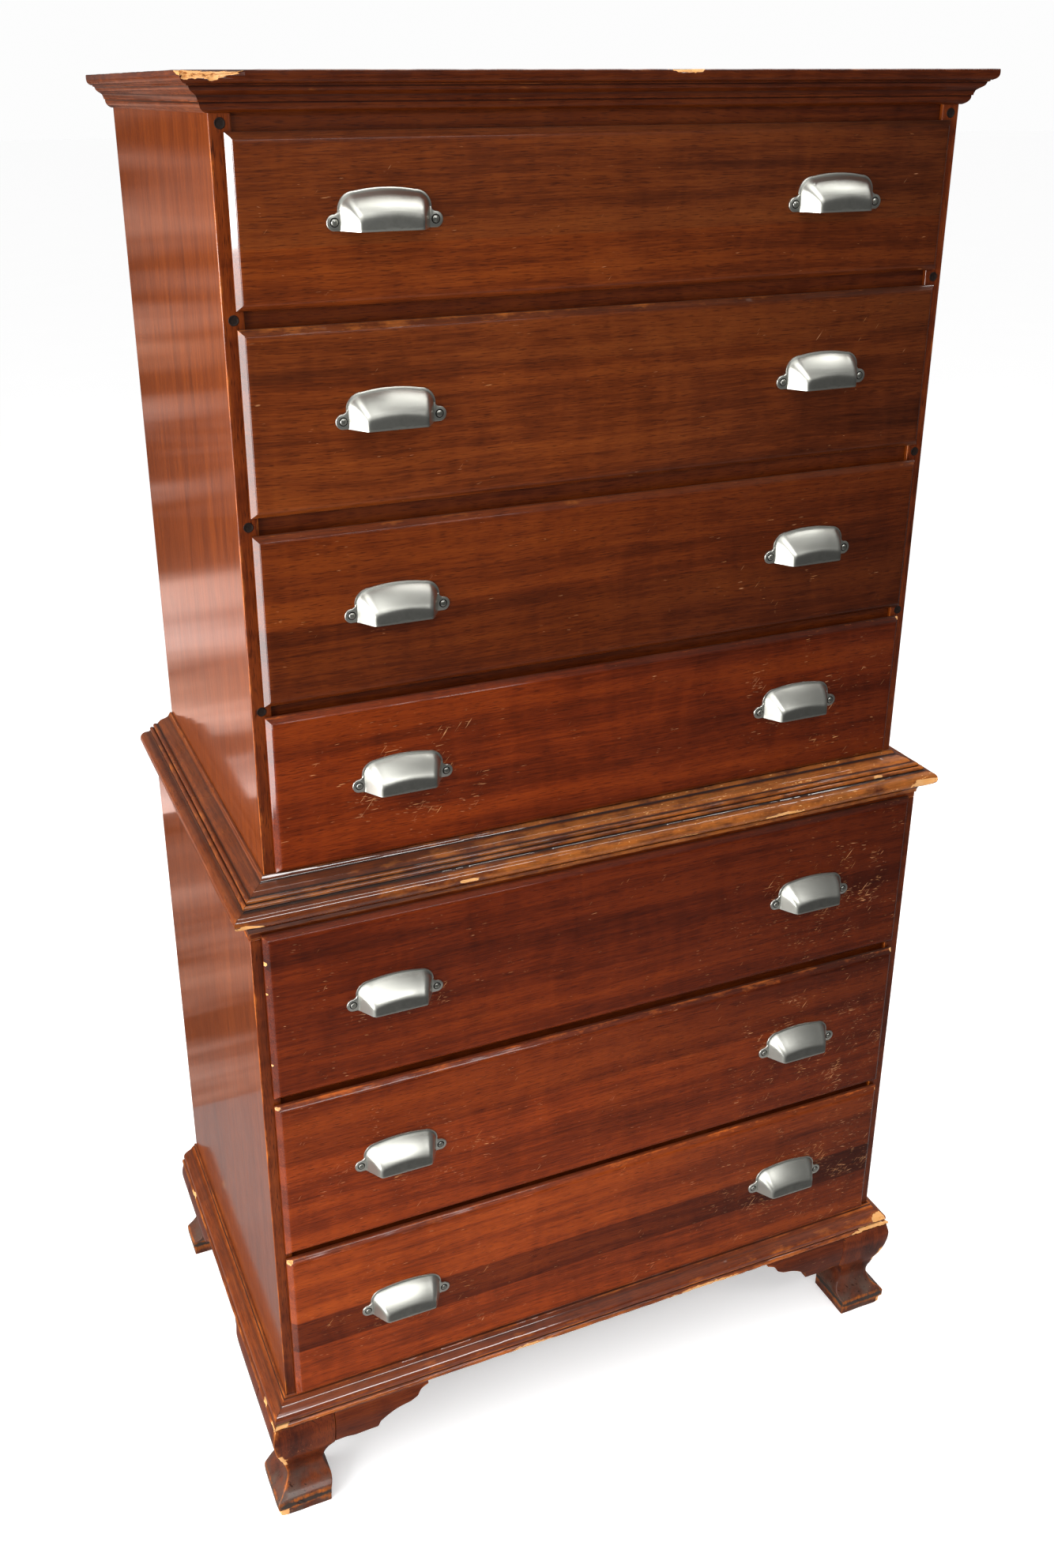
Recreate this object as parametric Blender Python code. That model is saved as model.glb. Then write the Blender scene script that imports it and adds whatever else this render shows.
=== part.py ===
"""Tall chest of drawers: a four-drawer upper case on a three-drawer lower case, on ogee bracket feet.

Metres, +Z up. The origin is on the floor, under the middle of everything from the back
boards to the pulls. +X is to the right as seen from the front, and the drawers open
towards -Y.
"""
import math

import bmesh
import bpy
from mathutils import Matrix, Vector

# ---------------------------------------------------------------- driving sizes
UPPER_WIDTH = 0.864
UPPER_DEPTH = 0.516
STEP = 0.028                # how far the lower case stands out past the upper one
PANEL = 0.022               # side boards
BOARD = 0.018               # top, bottom and shelf boards
BACK = 0.008                # back boards

FOOT_HEIGHT = 0.152
BASE_MOULDING_HEIGHT = 0.032
BASE_MOULDING_OUT = 0.0255  # mouldings' reach past the case below or behind them
WAIST_MOULDING_HEIGHT = 0.0565
WAIST_MOULDING_OUT = 0.020
CORNICE_HEIGHT = 0.037
CORNICE_OUT = 0.029

LOWER_DRAWER_HEIGHT = 0.2255
UPPER_DRAWER_HEIGHT = 0.191
TOP_DRAWER_HEIGHT = 0.164
# Gaps below each drawer face and above the last one, from the bottom up.
LOWER_GAPS = (0.0015, 0.0105, 0.012, 0.0035)
UPPER_GAPS = (0.002, 0.0135, 0.0195, 0.0175, 0.0165)

SIDE_LIP = 0.009            # drawer front's overlap on the side boards
RAIL_LIP = 0.005            # its overlap on the rails above and below
DRAWER_PROUD = 0.011        # drawer face in front of the case
DRAWER_REBATE = 0.009       # part of the front that goes into the opening
THUMB_RADIUS = 0.0058       # moulded edge of a drawer front
THUMB_STEP = 0.0008         # small step from the moulded edge up to the flat field
RAIL_RECESS = 0.005
RAIL_DEPTH = 0.060
DUST_BOARD = 0.012

BOX_WALL = 0.012
BOX_BOTTOM = 0.008
BOX_BACK_ROOM = 0.012       # free space behind a closed drawer
TOP_ROOM = 0.005            # free space above a drawer box

RUNNING = 0.0012            # sliding clearance on each side
REST = 0.0006               # under a drawer box
GAP = 0.0003                # between pieces that touch
MITRE = 0.00025             # half of the joint line where two mouldings meet
PAST = 0.020                # how far a cutter runs past what it cuts

PULL_WIDTH = 0.122
PULL_HEIGHT = 0.040
PULL_DEPTH = 0.0245
PULL_EAR = 0.0165           # screw ear beside the cup
PULL_PLATE = 0.0022
PULL_WALL = 0.002
PULL_RISE = 0.010           # middle of a pull above the middle of its drawer
UPPER_PULL_X = 0.265
LOWER_PULL_X = 0.293

DRAWN_FOOT = 0.152          # height that the foot's outlines are drawn for
FOOT_OUT = 0.028            # knee and toe in front of the lower case
TOE_WIDTH = 0.073
JOINT_LINE = 0.0575         # from the case's side to the joint between leg and bracket
BRACKET_REACH = 0.190       # from the case's side to the bracket's thin end
BRACKET_THICKNESS = 0.040
GLUED = 0.010               # how far a side bracket enters its leg

# ---------------------------------------------------------------- derived places
LOWER_WIDTH = UPPER_WIDTH + 2 * STEP
LOWER_DEPTH = UPPER_DEPTH + STEP
BACK_Y = (LOWER_DEPTH + DRAWER_PROUD + GAP + PULL_DEPTH) / 2
LOWER_FRONT = BACK_Y - LOWER_DEPTH
UPPER_FRONT = BACK_Y - UPPER_DEPTH
LOWER_BOTTOM = FOOT_HEIGHT
BASE_TOP = LOWER_BOTTOM + BASE_MOULDING_HEIGHT
WAIST_BOTTOM = BASE_TOP + sum(LOWER_GAPS) + 3 * LOWER_DRAWER_HEIGHT
WAIST_TOP = WAIST_BOTTOM + WAIST_MOULDING_HEIGHT
LOWER_TOP = WAIST_BOTTOM - LOWER_GAPS[-1] - RAIL_LIP + BOARD
UPPER_BOTTOM = LOWER_TOP + GAP
CORNICE_BOTTOM = WAIST_TOP + sum(UPPER_GAPS) + 3 * UPPER_DRAWER_HEIGHT + TOP_DRAWER_HEIGHT
UPPER_TOP = CORNICE_BOTTOM + CORNICE_HEIGHT

# ---------------------------------------------------------------- colours
MAHOGANY = (0.150, 0.042, 0.018, 1.0)
DARK_MAHOGANY = (0.075, 0.022, 0.012, 1.0)
SECONDARY_WOOD = (0.330, 0.200, 0.100, 1.0)
NICKEL = (0.420, 0.410, 0.390, 1.0)


def clear_scene():
    for item in list(bpy.context.scene.objects):
        bpy.data.objects.remove(item, do_unlink=True)


def make_material(name, colour, roughness, metallic=0.0):
    material = bpy.data.materials.new(name)
    material.use_nodes = True
    shader = material.node_tree.nodes["Principled BSDF"]
    shader.inputs["Base Color"].default_value = colour
    shader.inputs["Roughness"].default_value = roughness
    shader.inputs["Metallic"].default_value = metallic
    return material


# ---------------------------------------------------------------- outlines
def arc(centre, radius, start, end, steps):
    """Points on an arc, angles in degrees."""
    points = []
    for index in range(steps + 1):
        angle = math.radians(start + (end - start) * index / steps)
        points.append((centre[0] + radius * math.cos(angle), centre[1] + radius * math.sin(angle)))
    return points


def spline(points, steps):
    """A smooth line through the points."""
    first = [2 * points[0][i] - points[1][i] for i in (0, 1)]
    last = [2 * points[-1][i] - points[-2][i] for i in (0, 1)]
    path = [first, *points, last]
    line = [tuple(points[0])]
    for a, b, c, d in zip(path, path[1:], path[2:], path[3:]):
        for index in range(1, steps + 1):
            t = index / steps
            line.append(tuple(
                0.5 * (2 * b[i] + (c[i] - a[i]) * t + (2 * a[i] - 5 * b[i] + 4 * c[i] - d[i]) * t * t
                       + (3 * b[i] - a[i] - 3 * c[i] + d[i]) * t ** 3) for i in (0, 1)))
    return line


def millimetres(points):
    return [(a / 1000, z / 1000) for a, z in points]


def stretched(points, out, height):
    """Points drawn at any scale, taken to a given reach and height."""
    reach = max(x for x, _ in points)
    levels = [z for _, z in points]
    rise = max(levels) - min(levels)
    return [(x * out / reach, z * height / rise) for x, z in points]


def mirrored(points):
    return [(-x, z) for x, z in reversed(points)]


# ---------------------------------------------------------------- solids
def add_object(name, mesh, material, parent=None, location=(0, 0, 0)):
    thing = bpy.data.objects.new(name, mesh)
    thing.location = location
    thing.parent = parent
    bpy.data.collections["tall_chest"].objects.link(thing)
    if not mesh.materials:
        mesh.materials.append(material)
    return thing


def smooth(thing):
    """Round surfaces shade round, and edges sharper than 35 degrees stay crisp."""
    thing.data.shade_smooth()
    thing.data.set_sharp_from_angle(angle=math.radians(35))


def box_mesh(name, low, high):
    work = bmesh.new()
    bmesh.ops.create_cube(work, size=1.0)
    size = Vector(high) - Vector(low)
    middle = (Vector(high) + Vector(low)) / 2
    bmesh.ops.transform(work, matrix=Matrix.Translation(middle) @ Matrix.Diagonal((*size, 1)),
                        verts=work.verts)
    return finish_mesh(name, work)


def finish_mesh(name, work):
    bmesh.ops.recalc_face_normals(work, faces=work.faces)
    mesh = bpy.data.meshes.new(name)
    work.to_mesh(mesh)
    work.free()
    return mesh


def add_box(name, low, high, material, parent=None):
    return add_object(name, box_mesh(name, low, high), material, parent)


def outline_mesh(name, points, near, far, axis):
    """A flat outline, in X-Z or Y-Z, made thick along the other level axis."""
    curve = bpy.data.curves.new(name, "CURVE")
    curve.dimensions = "2D"
    curve.fill_mode = "BOTH"
    curve.extrude = (far - near) / 2
    run = curve.splines.new("POLY")
    run.points.add(len(points) - 1)
    for point, (x, y) in zip(run.points, points):
        point.co = (x, y, 0, 1)
    run.use_cyclic_u = True
    flat = bpy.data.objects.new(name, curve)
    bpy.context.scene.collection.objects.link(flat)
    shape = bpy.context.evaluated_depsgraph_get()
    mesh = bpy.data.meshes.new_from_object(flat.evaluated_get(shape))
    bpy.data.objects.remove(flat)
    turn = Matrix(((1, 0, 0, 0), (0, 0, 1, 0), (0, 1, 0, 0), (0, 0, 0, 1)))
    if axis == "X":
        turn = Matrix(((0, 0, 1, 0), (1, 0, 0, 0), (0, 1, 0, 0), (0, 0, 0, 1)))
    shift = Vector((0, (near + far) / 2, 0)) if axis == "Y" else Vector(((near + far) / 2, 0, 0))
    work = bmesh.new()
    work.from_mesh(mesh)
    bpy.data.meshes.remove(mesh)
    bmesh.ops.transform(work, matrix=Matrix.Translation(shift) @ turn, verts=work.verts)
    bmesh.ops.remove_doubles(work, verts=work.verts, dist=0.00001)
    return finish_mesh(name, work)


def section_run(name, sections):
    """A solid through closed sections with the same number of points, first to last."""
    work = bmesh.new()
    rings = [[work.verts.new(point) for point in section] for section in sections]
    for ring, following in zip(rings, rings[1:]):
        for index in range(len(ring)):
            after = (index + 1) % len(ring)
            work.faces.new((ring[index], ring[after], following[after], following[index]))
    work.faces.new(rings[0])
    work.faces.new(rings[-1])
    return finish_mesh(name, work)


def combine(thing, mesh, operation):
    """Boolean of an object with a loose mesh, applied at once."""
    other = bpy.data.objects.new(mesh.name + "_tool", mesh)
    other.hide_render = True
    other.display_type = "WIRE"
    bpy.data.collections["cutters"].objects.link(other)
    boolean = thing.modifiers.new(operation.lower(), "BOOLEAN")
    boolean.operation = operation
    boolean.solver = "EXACT"
    boolean.object = other
    shape = bpy.context.evaluated_depsgraph_get()
    result = bpy.data.meshes.new_from_object(thing.evaluated_get(shape))
    thing.modifiers.clear()
    thing.data = result
    bpy.data.objects.remove(other)


# ---------------------------------------------------------------- the two cases
def make_case(prefix, width, front, bottom, top, side_top, wood, dust):
    """Side boards, top, bottom and back of one case; the top lies on the side boards."""
    half = width / 2
    inner = half - PANEL - GAP
    inside_back = BACK_Y - BACK - GAP
    add_box(prefix + "_left_side", (-half, front, bottom), (-half + PANEL, BACK_Y, side_top), wood)
    add_box(prefix + "_right_side", (half - PANEL, front, bottom), (half, BACK_Y, side_top), wood)
    add_box(prefix + "_top_panel", (-half, front, side_top + GAP), (half, BACK_Y, top), wood)
    add_box(prefix + "_back", (-inner, BACK_Y - BACK, bottom), (inner, BACK_Y, side_top), dust)
    return inner, inside_back


def drawer_stack(base, gaps, heights):
    """Bottom and top of each drawer face, from the lowest drawer up."""
    faces = []
    level = base
    for gap, height in zip(gaps, heights):
        level += gap
        faces.append((level, level + height))
        level += height
    return faces


def add_divider(name, inner, front, inside_back, below, above, wood):
    """Rail with its dust board; its top is level with the bottom of the opening above."""
    low = below - RAIL_LIP
    high = above + RAIL_LIP
    start = front + RAIL_RECESS
    outline = [
        (start, low), (start + RAIL_DEPTH, low), (start + RAIL_DEPTH, high - DUST_BOARD),
        (inside_back, high - DUST_BOARD), (inside_back, high), (start, high),
    ]
    add_object(name, outline_mesh(name, outline, -inner, inner, "X"), wood)


def make_cases(woods):
    lower = drawer_stack(BASE_TOP, LOWER_GAPS, [LOWER_DRAWER_HEIGHT] * 3)
    upper = drawer_stack(WAIST_TOP, UPPER_GAPS, [UPPER_DRAWER_HEIGHT] * 3 + [TOP_DRAWER_HEIGHT])

    low_inner, inside_back = make_case("lower", LOWER_WIDTH, LOWER_FRONT, LOWER_BOTTOM, LOWER_TOP,
                                       LOWER_TOP - BOARD - GAP, woods["mahogany"], woods["pine"])
    up_inner, _ = make_case("upper", UPPER_WIDTH, UPPER_FRONT, UPPER_BOTTOM, UPPER_TOP,
                            UPPER_TOP - BOARD - GAP, woods["mahogany"], woods["pine"])
    for prefix, inner, front, level in (("lower", low_inner, LOWER_FRONT, lower[0][0]),
                                        ("upper", up_inner, UPPER_FRONT, upper[0][0])):
        top = level + RAIL_LIP
        add_box(prefix + "_bottom_panel", (-inner, front + RAIL_RECESS, top - BOARD),
                (inner, inside_back, top), woods["dark"])
    rail_low = upper[-1][1] - RAIL_LIP
    add_box("upper_top_rail", (-up_inner, UPPER_FRONT + RAIL_RECESS, rail_low),
            (up_inner, UPPER_FRONT + RAIL_RECESS + PANEL, UPPER_TOP - BOARD - GAP), woods["dark"])
    for number, (below, above) in enumerate(zip(upper, upper[1:]), start=1):
        add_divider(f"upper_divider_{4 - number}", up_inner, UPPER_FRONT, inside_back,
                    below[1], above[0], woods["dark"])
    for number, (below, above) in enumerate(zip(lower, lower[1:]), start=1):
        add_divider(f"lower_divider_{3 - number}", low_inner, LOWER_FRONT, inside_back,
                    below[1], above[0], woods["dark"])
    return list(reversed(upper)), list(reversed(lower))


# ---------------------------------------------------------------- mouldings
def cornice_profile():
    """Distance out from the case and height above the cornice's lower edge."""
    face = [
        (2.5, 0), *spline([(2.6, 0.2), (6.2, 2.4), (8.5, 6), (8.8, 9.5)], 2), (10.3, 9.5), (10.3, 11.2),
        *spline([(10.6, 12), (12, 15), (15.6, 17.6), (18.6, 19.8), (20, 23.4)], 2),
        (22.2, 23.8), (22.2, 25.4), *arc((22.6, 31.6), 6.4, -80, 0, 4), (29, 36.2), (28.2, 37),
    ]
    return [(GAP, 0.0), *stretched(face, CORNICE_OUT, CORNICE_HEIGHT), (GAP, CORNICE_HEIGHT)]


def waist_profile():
    """Distance out from the upper case and height above the moulding's top edge.

    The cove is drawn from the upper case's face, and the reeds, the nose and the foot of
    the moulding from the lower one's.
    """
    cove = millimetres([
        (2.8, 0), (3.4, -1.6), *spline([(4.2, -2.6), (6.4, -6), (11.5, -8.2), (17, -9.8), (20.8, -13.4)], 3),
    ])
    nose = stretched([
        (-6, -14.6), (-5, -14.4), *arc((-2.6, -16.6), 3.0, 110, -50, 4),
        (0, -19.2), *arc((2.6, -20.9), 3.0, 110, -50, 4), (5.4, -23.2), (6.8, -24.3), (8.8, -24.6),
        *arc((10.8, -33.7), 9.2, 88, -96, 8), (6.6, -43.8), (6, -45.6),
        *spline([(5.6, -45.8), (2.6, -49.4), (1.4, -54)], 2), (1.2, -56.5), (1.2, 0),
    ], WAIST_MOULDING_OUT, WAIST_MOULDING_HEIGHT)[:-1]
    cove_reach = (STEP + nose[0][0]) / (cove[-1][0] + 0.0012)
    face = [(x * cove_reach, z) for x, z in cove] + [(STEP + x, z) for x, z in nose]
    seat = LOWER_TOP + GAP - WAIST_TOP
    return [(GAP, 0.0), *face, (STEP + GAP, -WAIST_MOULDING_HEIGHT), (STEP + GAP, seat), (GAP, seat)]


def base_profile():
    """Distance out from the lower case and height above the moulding's lower edge."""
    face = [
        (21.4, 0), *arc((22.1, 3.5), 3.4, -85, 85, 5), (20.6, 7.3), (20.6, 8.9), (22, 9.1),
        *spline([(22.2, 10.6), (20.6, 16), (15.4, 20.4), (9.6, 23.4), (5.4, 28.4)], 2), (3.4, 29), (3.4, 32),
    ]
    outer = stretched(face, BASE_MOULDING_OUT, BASE_MOULDING_HEIGHT)
    return [(GAP, 0.0), *outer, (GAP, BASE_MOULDING_HEIGHT)]


def add_moulding(prefix, profile, half_width, front, level, material):
    """Front length and two side lengths, mitred where they meet."""
    def across(sign):
        return [(sign * (half_width + a - MITRE), front - a, level + z) for a, z in profile]

    def along(sign, y_at):
        return [(sign * (half_width + a), y_at(a), level + z) for a, z in profile]

    runs = {"front": [across(-1), across(1)]}
    for word, sign in (("left", -1), ("right", 1)):
        runs[word] = [along(sign, lambda a: front - a + MITRE), along(sign, lambda a: BACK_Y)]
    for word, sections in runs.items():
        name = f"{prefix}_{word}"
        smooth(add_object(name, section_run(name, sections), material))


def make_mouldings(material):
    add_moulding("cornice", cornice_profile(), UPPER_WIDTH / 2, UPPER_FRONT, CORNICE_BOTTOM, material)
    add_moulding("waist_moulding", waist_profile(), UPPER_WIDTH / 2, UPPER_FRONT, WAIST_TOP, material)
    add_moulding("base_moulding", base_profile(), LOWER_WIDTH / 2, LOWER_FRONT, LOWER_BOTTOM, material)


# ---------------------------------------------------------------- feet
# A foot's outlines are distances out from a face of the lower case, and heights. Heights
# are drawn for a foot of DRAWN_FOOT and follow FOOT_HEIGHT.
def risen(points):
    return [(t, z * FOOT_HEIGHT / DRAWN_FOOT) for t, z in points]


def ogee_face():
    """Outer line of a foot, from its top to the floor."""
    knee = spline([(-0.004, DRAWN_FOOT - GAP), (-0.0005, 0.132), (-0.0065, 0.098), (-0.0145, 0.077),
                   (-0.020, 0.054), (-0.014, 0.036), (0.0, 0.0235)], 3)
    toe = [(0.0, 0.0125), (-0.002, 0.0115), (-0.002, 0.0)]
    return risen([(FOOT_OUT + t, z) for t, z in knee + toe])


def leg_outline(flat):
    """A leg block from the front or the side; its outer line is flat at the back of the chest."""
    toe = FOOT_OUT - TOE_WIDTH
    joint = GAP - JOINT_LINE
    waist = spline([(toe - 0.0055, 0.034), (toe + 0.001, 0.052), (toe + 0.003, 0.068),
                    (toe - 0.003, 0.088)], 3)
    inner = [(toe, 0.0), (toe - 0.001, 0.022), *waist, (joint, 0.0975), (joint, DRAWN_FOOT - GAP)]
    outer = risen([(0.0, DRAWN_FOOT - GAP), (0.0, 0.0)]) if flat else ogee_face()
    return outer + risen(inner)


def bracket_outline(start):
    """A bracket from the front: its lower line falls from its thin end to the leg."""
    shoulder = spline([(0.0, 0.0975), (0.0145, 0.0985), (0.0285, 0.0955), (0.0445, 0.0965),
                       (0.060, 0.0965)], 2)
    sweep = spline([(0.0635, 0.1075), (0.0755, 0.1175), (0.0885, 0.1245), (0.1065, 0.1290)], 2)
    tail = spline([(0.116, 0.1345), (0.1215, 0.143), (0.1325, 0.1475)], 2)
    line = shoulder + sweep + tail
    length = (BRACKET_REACH - JOINT_LINE) / line[-1][0]
    low = [(-JOINT_LINE - t * length, z) for t, z in line]
    ends = [(-BRACKET_REACH, DRAWN_FOOT - GAP), (-start, DRAWN_FOOT - GAP), (-start, low[0][1])]
    return risen(low + ends)


def ogee_section():
    """Upright section of a bracket: the foot's outer line and a flat back."""
    back = FOOT_OUT - BRACKET_THICKNESS
    return ogee_face() + risen([(back, 0.0), (back, DRAWN_FOOT - GAP)])


def face_run(name, outline, face):
    """An outline drawn out from a face of the case, run the whole length of that face."""
    axis, place, outward = face
    points = [(place + outward * t, z) for t, z in outline]
    return outline_mesh(name, points, -LOWER_WIDTH, LOWER_WIDTH, axis)


def add_bracket(name, run, face, start, material):
    """A bracket that runs in from one face of the case and curves outward from the other."""
    piece = add_object(name, face_run(name, bracket_outline(start), run), material)
    combine(piece, face_run(name + "_section", ogee_section(), face), "INTERSECT")
    return piece


def add_foot(name, end, side, material):
    """Leg block with its side bracket glued on behind it."""
    foot = add_object(name, face_run(name, leg_outline(flat=False), side), material)
    at_back = end[2] > 0
    combine(foot, face_run(name + "_end", leg_outline(flat=at_back), end), "INTERSECT")
    bracket = add_bracket(name + "_side_bracket", end, side, JOINT_LINE - GLUED, material)
    shape = bracket.data.copy()
    bpy.data.objects.remove(bracket)
    combine(foot, shape, "UNION")
    smooth(foot)


def make_feet(material):
    """Each face of the case is the axis its outline runs along, its place and its outward way."""
    front = ("X", LOWER_FRONT, -1)
    back = ("X", BACK_Y, 1)
    for word, sign in (("left", -1), ("right", 1)):
        side = ("Y", sign * LOWER_WIDTH / 2, sign)
        add_foot(f"front_{word}_foot", front, side, material)
        add_foot(f"rear_{word}_foot", back, side, material)
        smooth(add_bracket(f"front_{word}_bracket", side, front, JOINT_LINE, material))


# ---------------------------------------------------------------- drawers
def facing(work, direction):
    """The largest face that looks along +Y or -Y."""
    return max((f for f in work.faces if f.normal.y * direction > 0.99), key=lambda f: f.calc_area())


def front_mesh(name, width, height):
    """Lipped front: moulded edge all round, a flat field, and a tongue that enters the opening."""
    work = bmesh.new()
    bmesh.ops.create_cube(work, size=1.0)
    slab = DRAWER_PROUD - THUMB_STEP - GAP
    place = Matrix.Translation((0, -GAP - slab / 2, 0))
    bmesh.ops.transform(work, verts=work.verts, matrix=place @ Matrix.Diagonal((width, slab, height, 1)))
    work.normal_update()
    bmesh.ops.bevel(work, geom=list(facing(work, -1).edges), offset=THUMB_RADIUS, segments=4,
                    profile=0.5, affect="EDGES")
    bmesh.ops.inset_region(work, faces=[facing(work, -1)], thickness=THUMB_STEP)
    bmesh.ops.inset_region(work, faces=[facing(work, -1)], thickness=GAP, depth=THUMB_STEP)
    tongue_x = width / 2 - SIDE_LIP - RUNNING
    tongue_z = height / 2 - RAIL_LIP - RUNNING
    bmesh.ops.inset_region(work, faces=[facing(work, 1)], thickness=RAIL_LIP)
    for vert in facing(work, 1).verts:
        vert.co.x = math.copysign(tongue_x, vert.co.x)
        vert.co.z = math.copysign(tongue_z, vert.co.z)
    bmesh.ops.inset_region(work, faces=[facing(work, 1)], thickness=0.0, depth=GAP + DRAWER_REBATE)
    return finish_mesh(name, work)


def add_drawer_box(name, width, low, high, front, parent, material):
    """Two sides, a back and a bottom; the drawer front closes its open end."""
    start = front + DRAWER_REBATE + GAP
    end = BACK_Y - BACK - BOX_BACK_ROOM
    half = width / 2 - SIDE_LIP - RUNNING
    bottom = low + RAIL_LIP + REST
    top = high - RAIL_LIP - TOP_ROOM
    middle = Vector((0, front, (low + high) / 2))
    body = box_mesh(name, Vector((-half, start, bottom)) - middle, Vector((half, end, top)) - middle)
    box = add_object(name, body, material, parent)
    hollow_low = Vector((-half + BOX_WALL, start - PAST, bottom + BOX_BOTTOM)) - middle
    hollow_high = Vector((half - BOX_WALL, end - BOX_WALL, top + PAST)) - middle
    hollow = box_mesh(name + "_hollow", hollow_low, hollow_high)
    hollow.transform(Matrix.Translation(middle))
    combine(box, hollow, "DIFFERENCE")


def pull_plate_outline():
    """Back plate of a cup pull: an arch with a screw ear at each end."""
    half = PULL_WIDTH / 2
    top = PULL_HEIGHT
    ear = spline([(half, 0.0015), (half - 0.0002, 0.006), (half - 0.0025, 0.0115),
                  (half - 0.0075, 0.0145)], 2)
    shoulder = spline([(half - 0.0112, 0.0160), (half - 0.0138, top - 0.0135), (half - 0.0190, top - 0.0055),
                       (half - 0.0320, top - 0.0018), (0.0, top)], 2)
    right = [(half - 0.001, 0.0)] + ear + shoulder
    return right + mirrored(right[:-1])


def cup_section(half, height, corner, crown, foot, y):
    """Upright section of the cup at one depth; its top is slightly arched."""
    top = height - corner
    side = arc((half - corner, top), corner, 0, 75, 3)
    ridge = [(x * (half - corner) / 3, height + crown * (1 - (x / 3) ** 2)) for x in (2, 1)]
    right = [(half, foot), *side, *ridge]
    return [(x, y, z) for x, z in right + [(0.0, height + crown)] + mirrored(right)]


def cup_mesh(name, depths, wall):
    """A cup, or with a wall its hollow, which also opens at the back and below."""
    half = PULL_WIDTH / 2 - PULL_EAR - wall
    top = PULL_HEIGHT - wall
    curl = wall / 2
    shapes = [
        (half, top - 0.0065, 0.012 - curl, 0.0030), (half - 0.004, top - 0.0095, 0.010 - curl, 0.0020),
        (half - 0.010, top - 0.016, 0.006 - curl, 0.0012), (half - 0.012, top - 0.0185, 0.005 - curl, 0.0010),
    ]
    rings = [cup_section(*shape, -wall / 2, -depth) for shape, depth in zip(shapes, depths)]
    return section_run(name, rings)


def make_pull(name, material):
    """A cup with an open underside on its back plate."""
    middle = PULL_DEPTH * 0.53
    cup = cup_mesh(name + "_cup", (0.001, middle, PULL_DEPTH - PULL_WALL, PULL_DEPTH), 0.0)
    hollow = cup_mesh(name + "_hollow", (-0.001, middle, PULL_DEPTH - 2 * PULL_WALL, PULL_DEPTH - PULL_WALL),
                      PULL_WALL)
    pull = add_object(name, outline_mesh(name, pull_plate_outline(), -PULL_PLATE, 0.0, "Y"), material)
    combine(pull, cup, "UNION")
    combine(pull, hollow, "DIFFERENCE")
    smooth(pull)
    return pull


def make_drawers(upper, lower, materials):
    """Drawer 1 is the top one. Each drawer's pieces hang on an empty on its slide's line."""
    stack = [(level, UPPER_WIDTH, UPPER_FRONT, UPPER_PULL_X) for level in upper]
    stack += [(level, LOWER_WIDTH, LOWER_FRONT, LOWER_PULL_X) for level in lower]
    shared_pull = None
    for number, ((low, high), case_width, front, pull_x) in enumerate(stack, start=1):
        width = case_width - 2 * (PANEL - SIDE_LIP)
        slide = bpy.data.objects.new(f"drawer_{number}_slide", None)
        slide.location = (0, front, (low + high) / 2)
        bpy.data.collections["tall_chest"].objects.link(slide)
        name = f"drawer_{number}_front"
        add_object(name, front_mesh(name, width, high - low), materials["mahogany"], slide)
        add_drawer_box(f"drawer_{number}_box", width, low, high, front, slide, materials["pine"])
        for word, sign in (("left", -1), ("right", 1)):
            place = (sign * pull_x, -DRAWER_PROUD - GAP, PULL_RISE - PULL_HEIGHT / 2)
            name = f"drawer_{number}_{word}_pull"
            if shared_pull is None:
                pull = make_pull(name, materials["nickel"])
                shared_pull = pull.data
                pull.parent = slide
                pull.location = place
            else:
                add_object(name, shared_pull, materials["nickel"], slide, place)


def main():
    clear_scene()
    for name in ("tall_chest", "cutters"):
        bpy.context.scene.collection.children.link(bpy.data.collections.new(name))
    materials = {
        "mahogany": make_material("mahogany", MAHOGANY, 0.32),
        "dark": make_material("dark_mahogany", DARK_MAHOGANY, 0.45),
        "pine": make_material("secondary_wood", SECONDARY_WOOD, 0.75),
        "nickel": make_material("brushed_nickel", NICKEL, 0.35, 1.0),
    }
    upper, lower = make_cases(materials)
    make_mouldings(materials["mahogany"])
    make_feet(materials["mahogany"])
    make_drawers(upper, lower, materials)


main()
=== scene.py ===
"""Looks of the tall chest of drawers: mahogany boards, mouldings, feet, drawers and cup pulls.

Everything is in metres and in the frame's own axes: +Z up, +X to the right from the
front, and the drawers open towards -Y. Places and sizes come from the frame's nodes.
"""
import math
from collections import namedtuple

import bmesh
import bpy
import numpy as np
from mathutils import Matrix, Vector, noise


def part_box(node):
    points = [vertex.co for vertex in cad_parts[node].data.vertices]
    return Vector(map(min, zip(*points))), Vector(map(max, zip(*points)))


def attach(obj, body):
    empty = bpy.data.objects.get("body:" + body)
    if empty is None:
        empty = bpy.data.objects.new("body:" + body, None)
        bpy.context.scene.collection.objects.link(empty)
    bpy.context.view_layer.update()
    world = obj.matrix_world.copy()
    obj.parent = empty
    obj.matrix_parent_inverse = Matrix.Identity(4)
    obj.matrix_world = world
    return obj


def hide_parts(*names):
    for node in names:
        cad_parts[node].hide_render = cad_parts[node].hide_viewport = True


bl_info = {
    "name": "Tall Chest of Drawers",
    "version": (1, 0, 0),
    "blender": (4, 5, 0),
    "location": "View3D > Sidebar > Chest",
    "description": "Builds the visible boards, mouldings, feet, drawers and pulls of a tall chest",
    "category": "Object",
}

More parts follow.
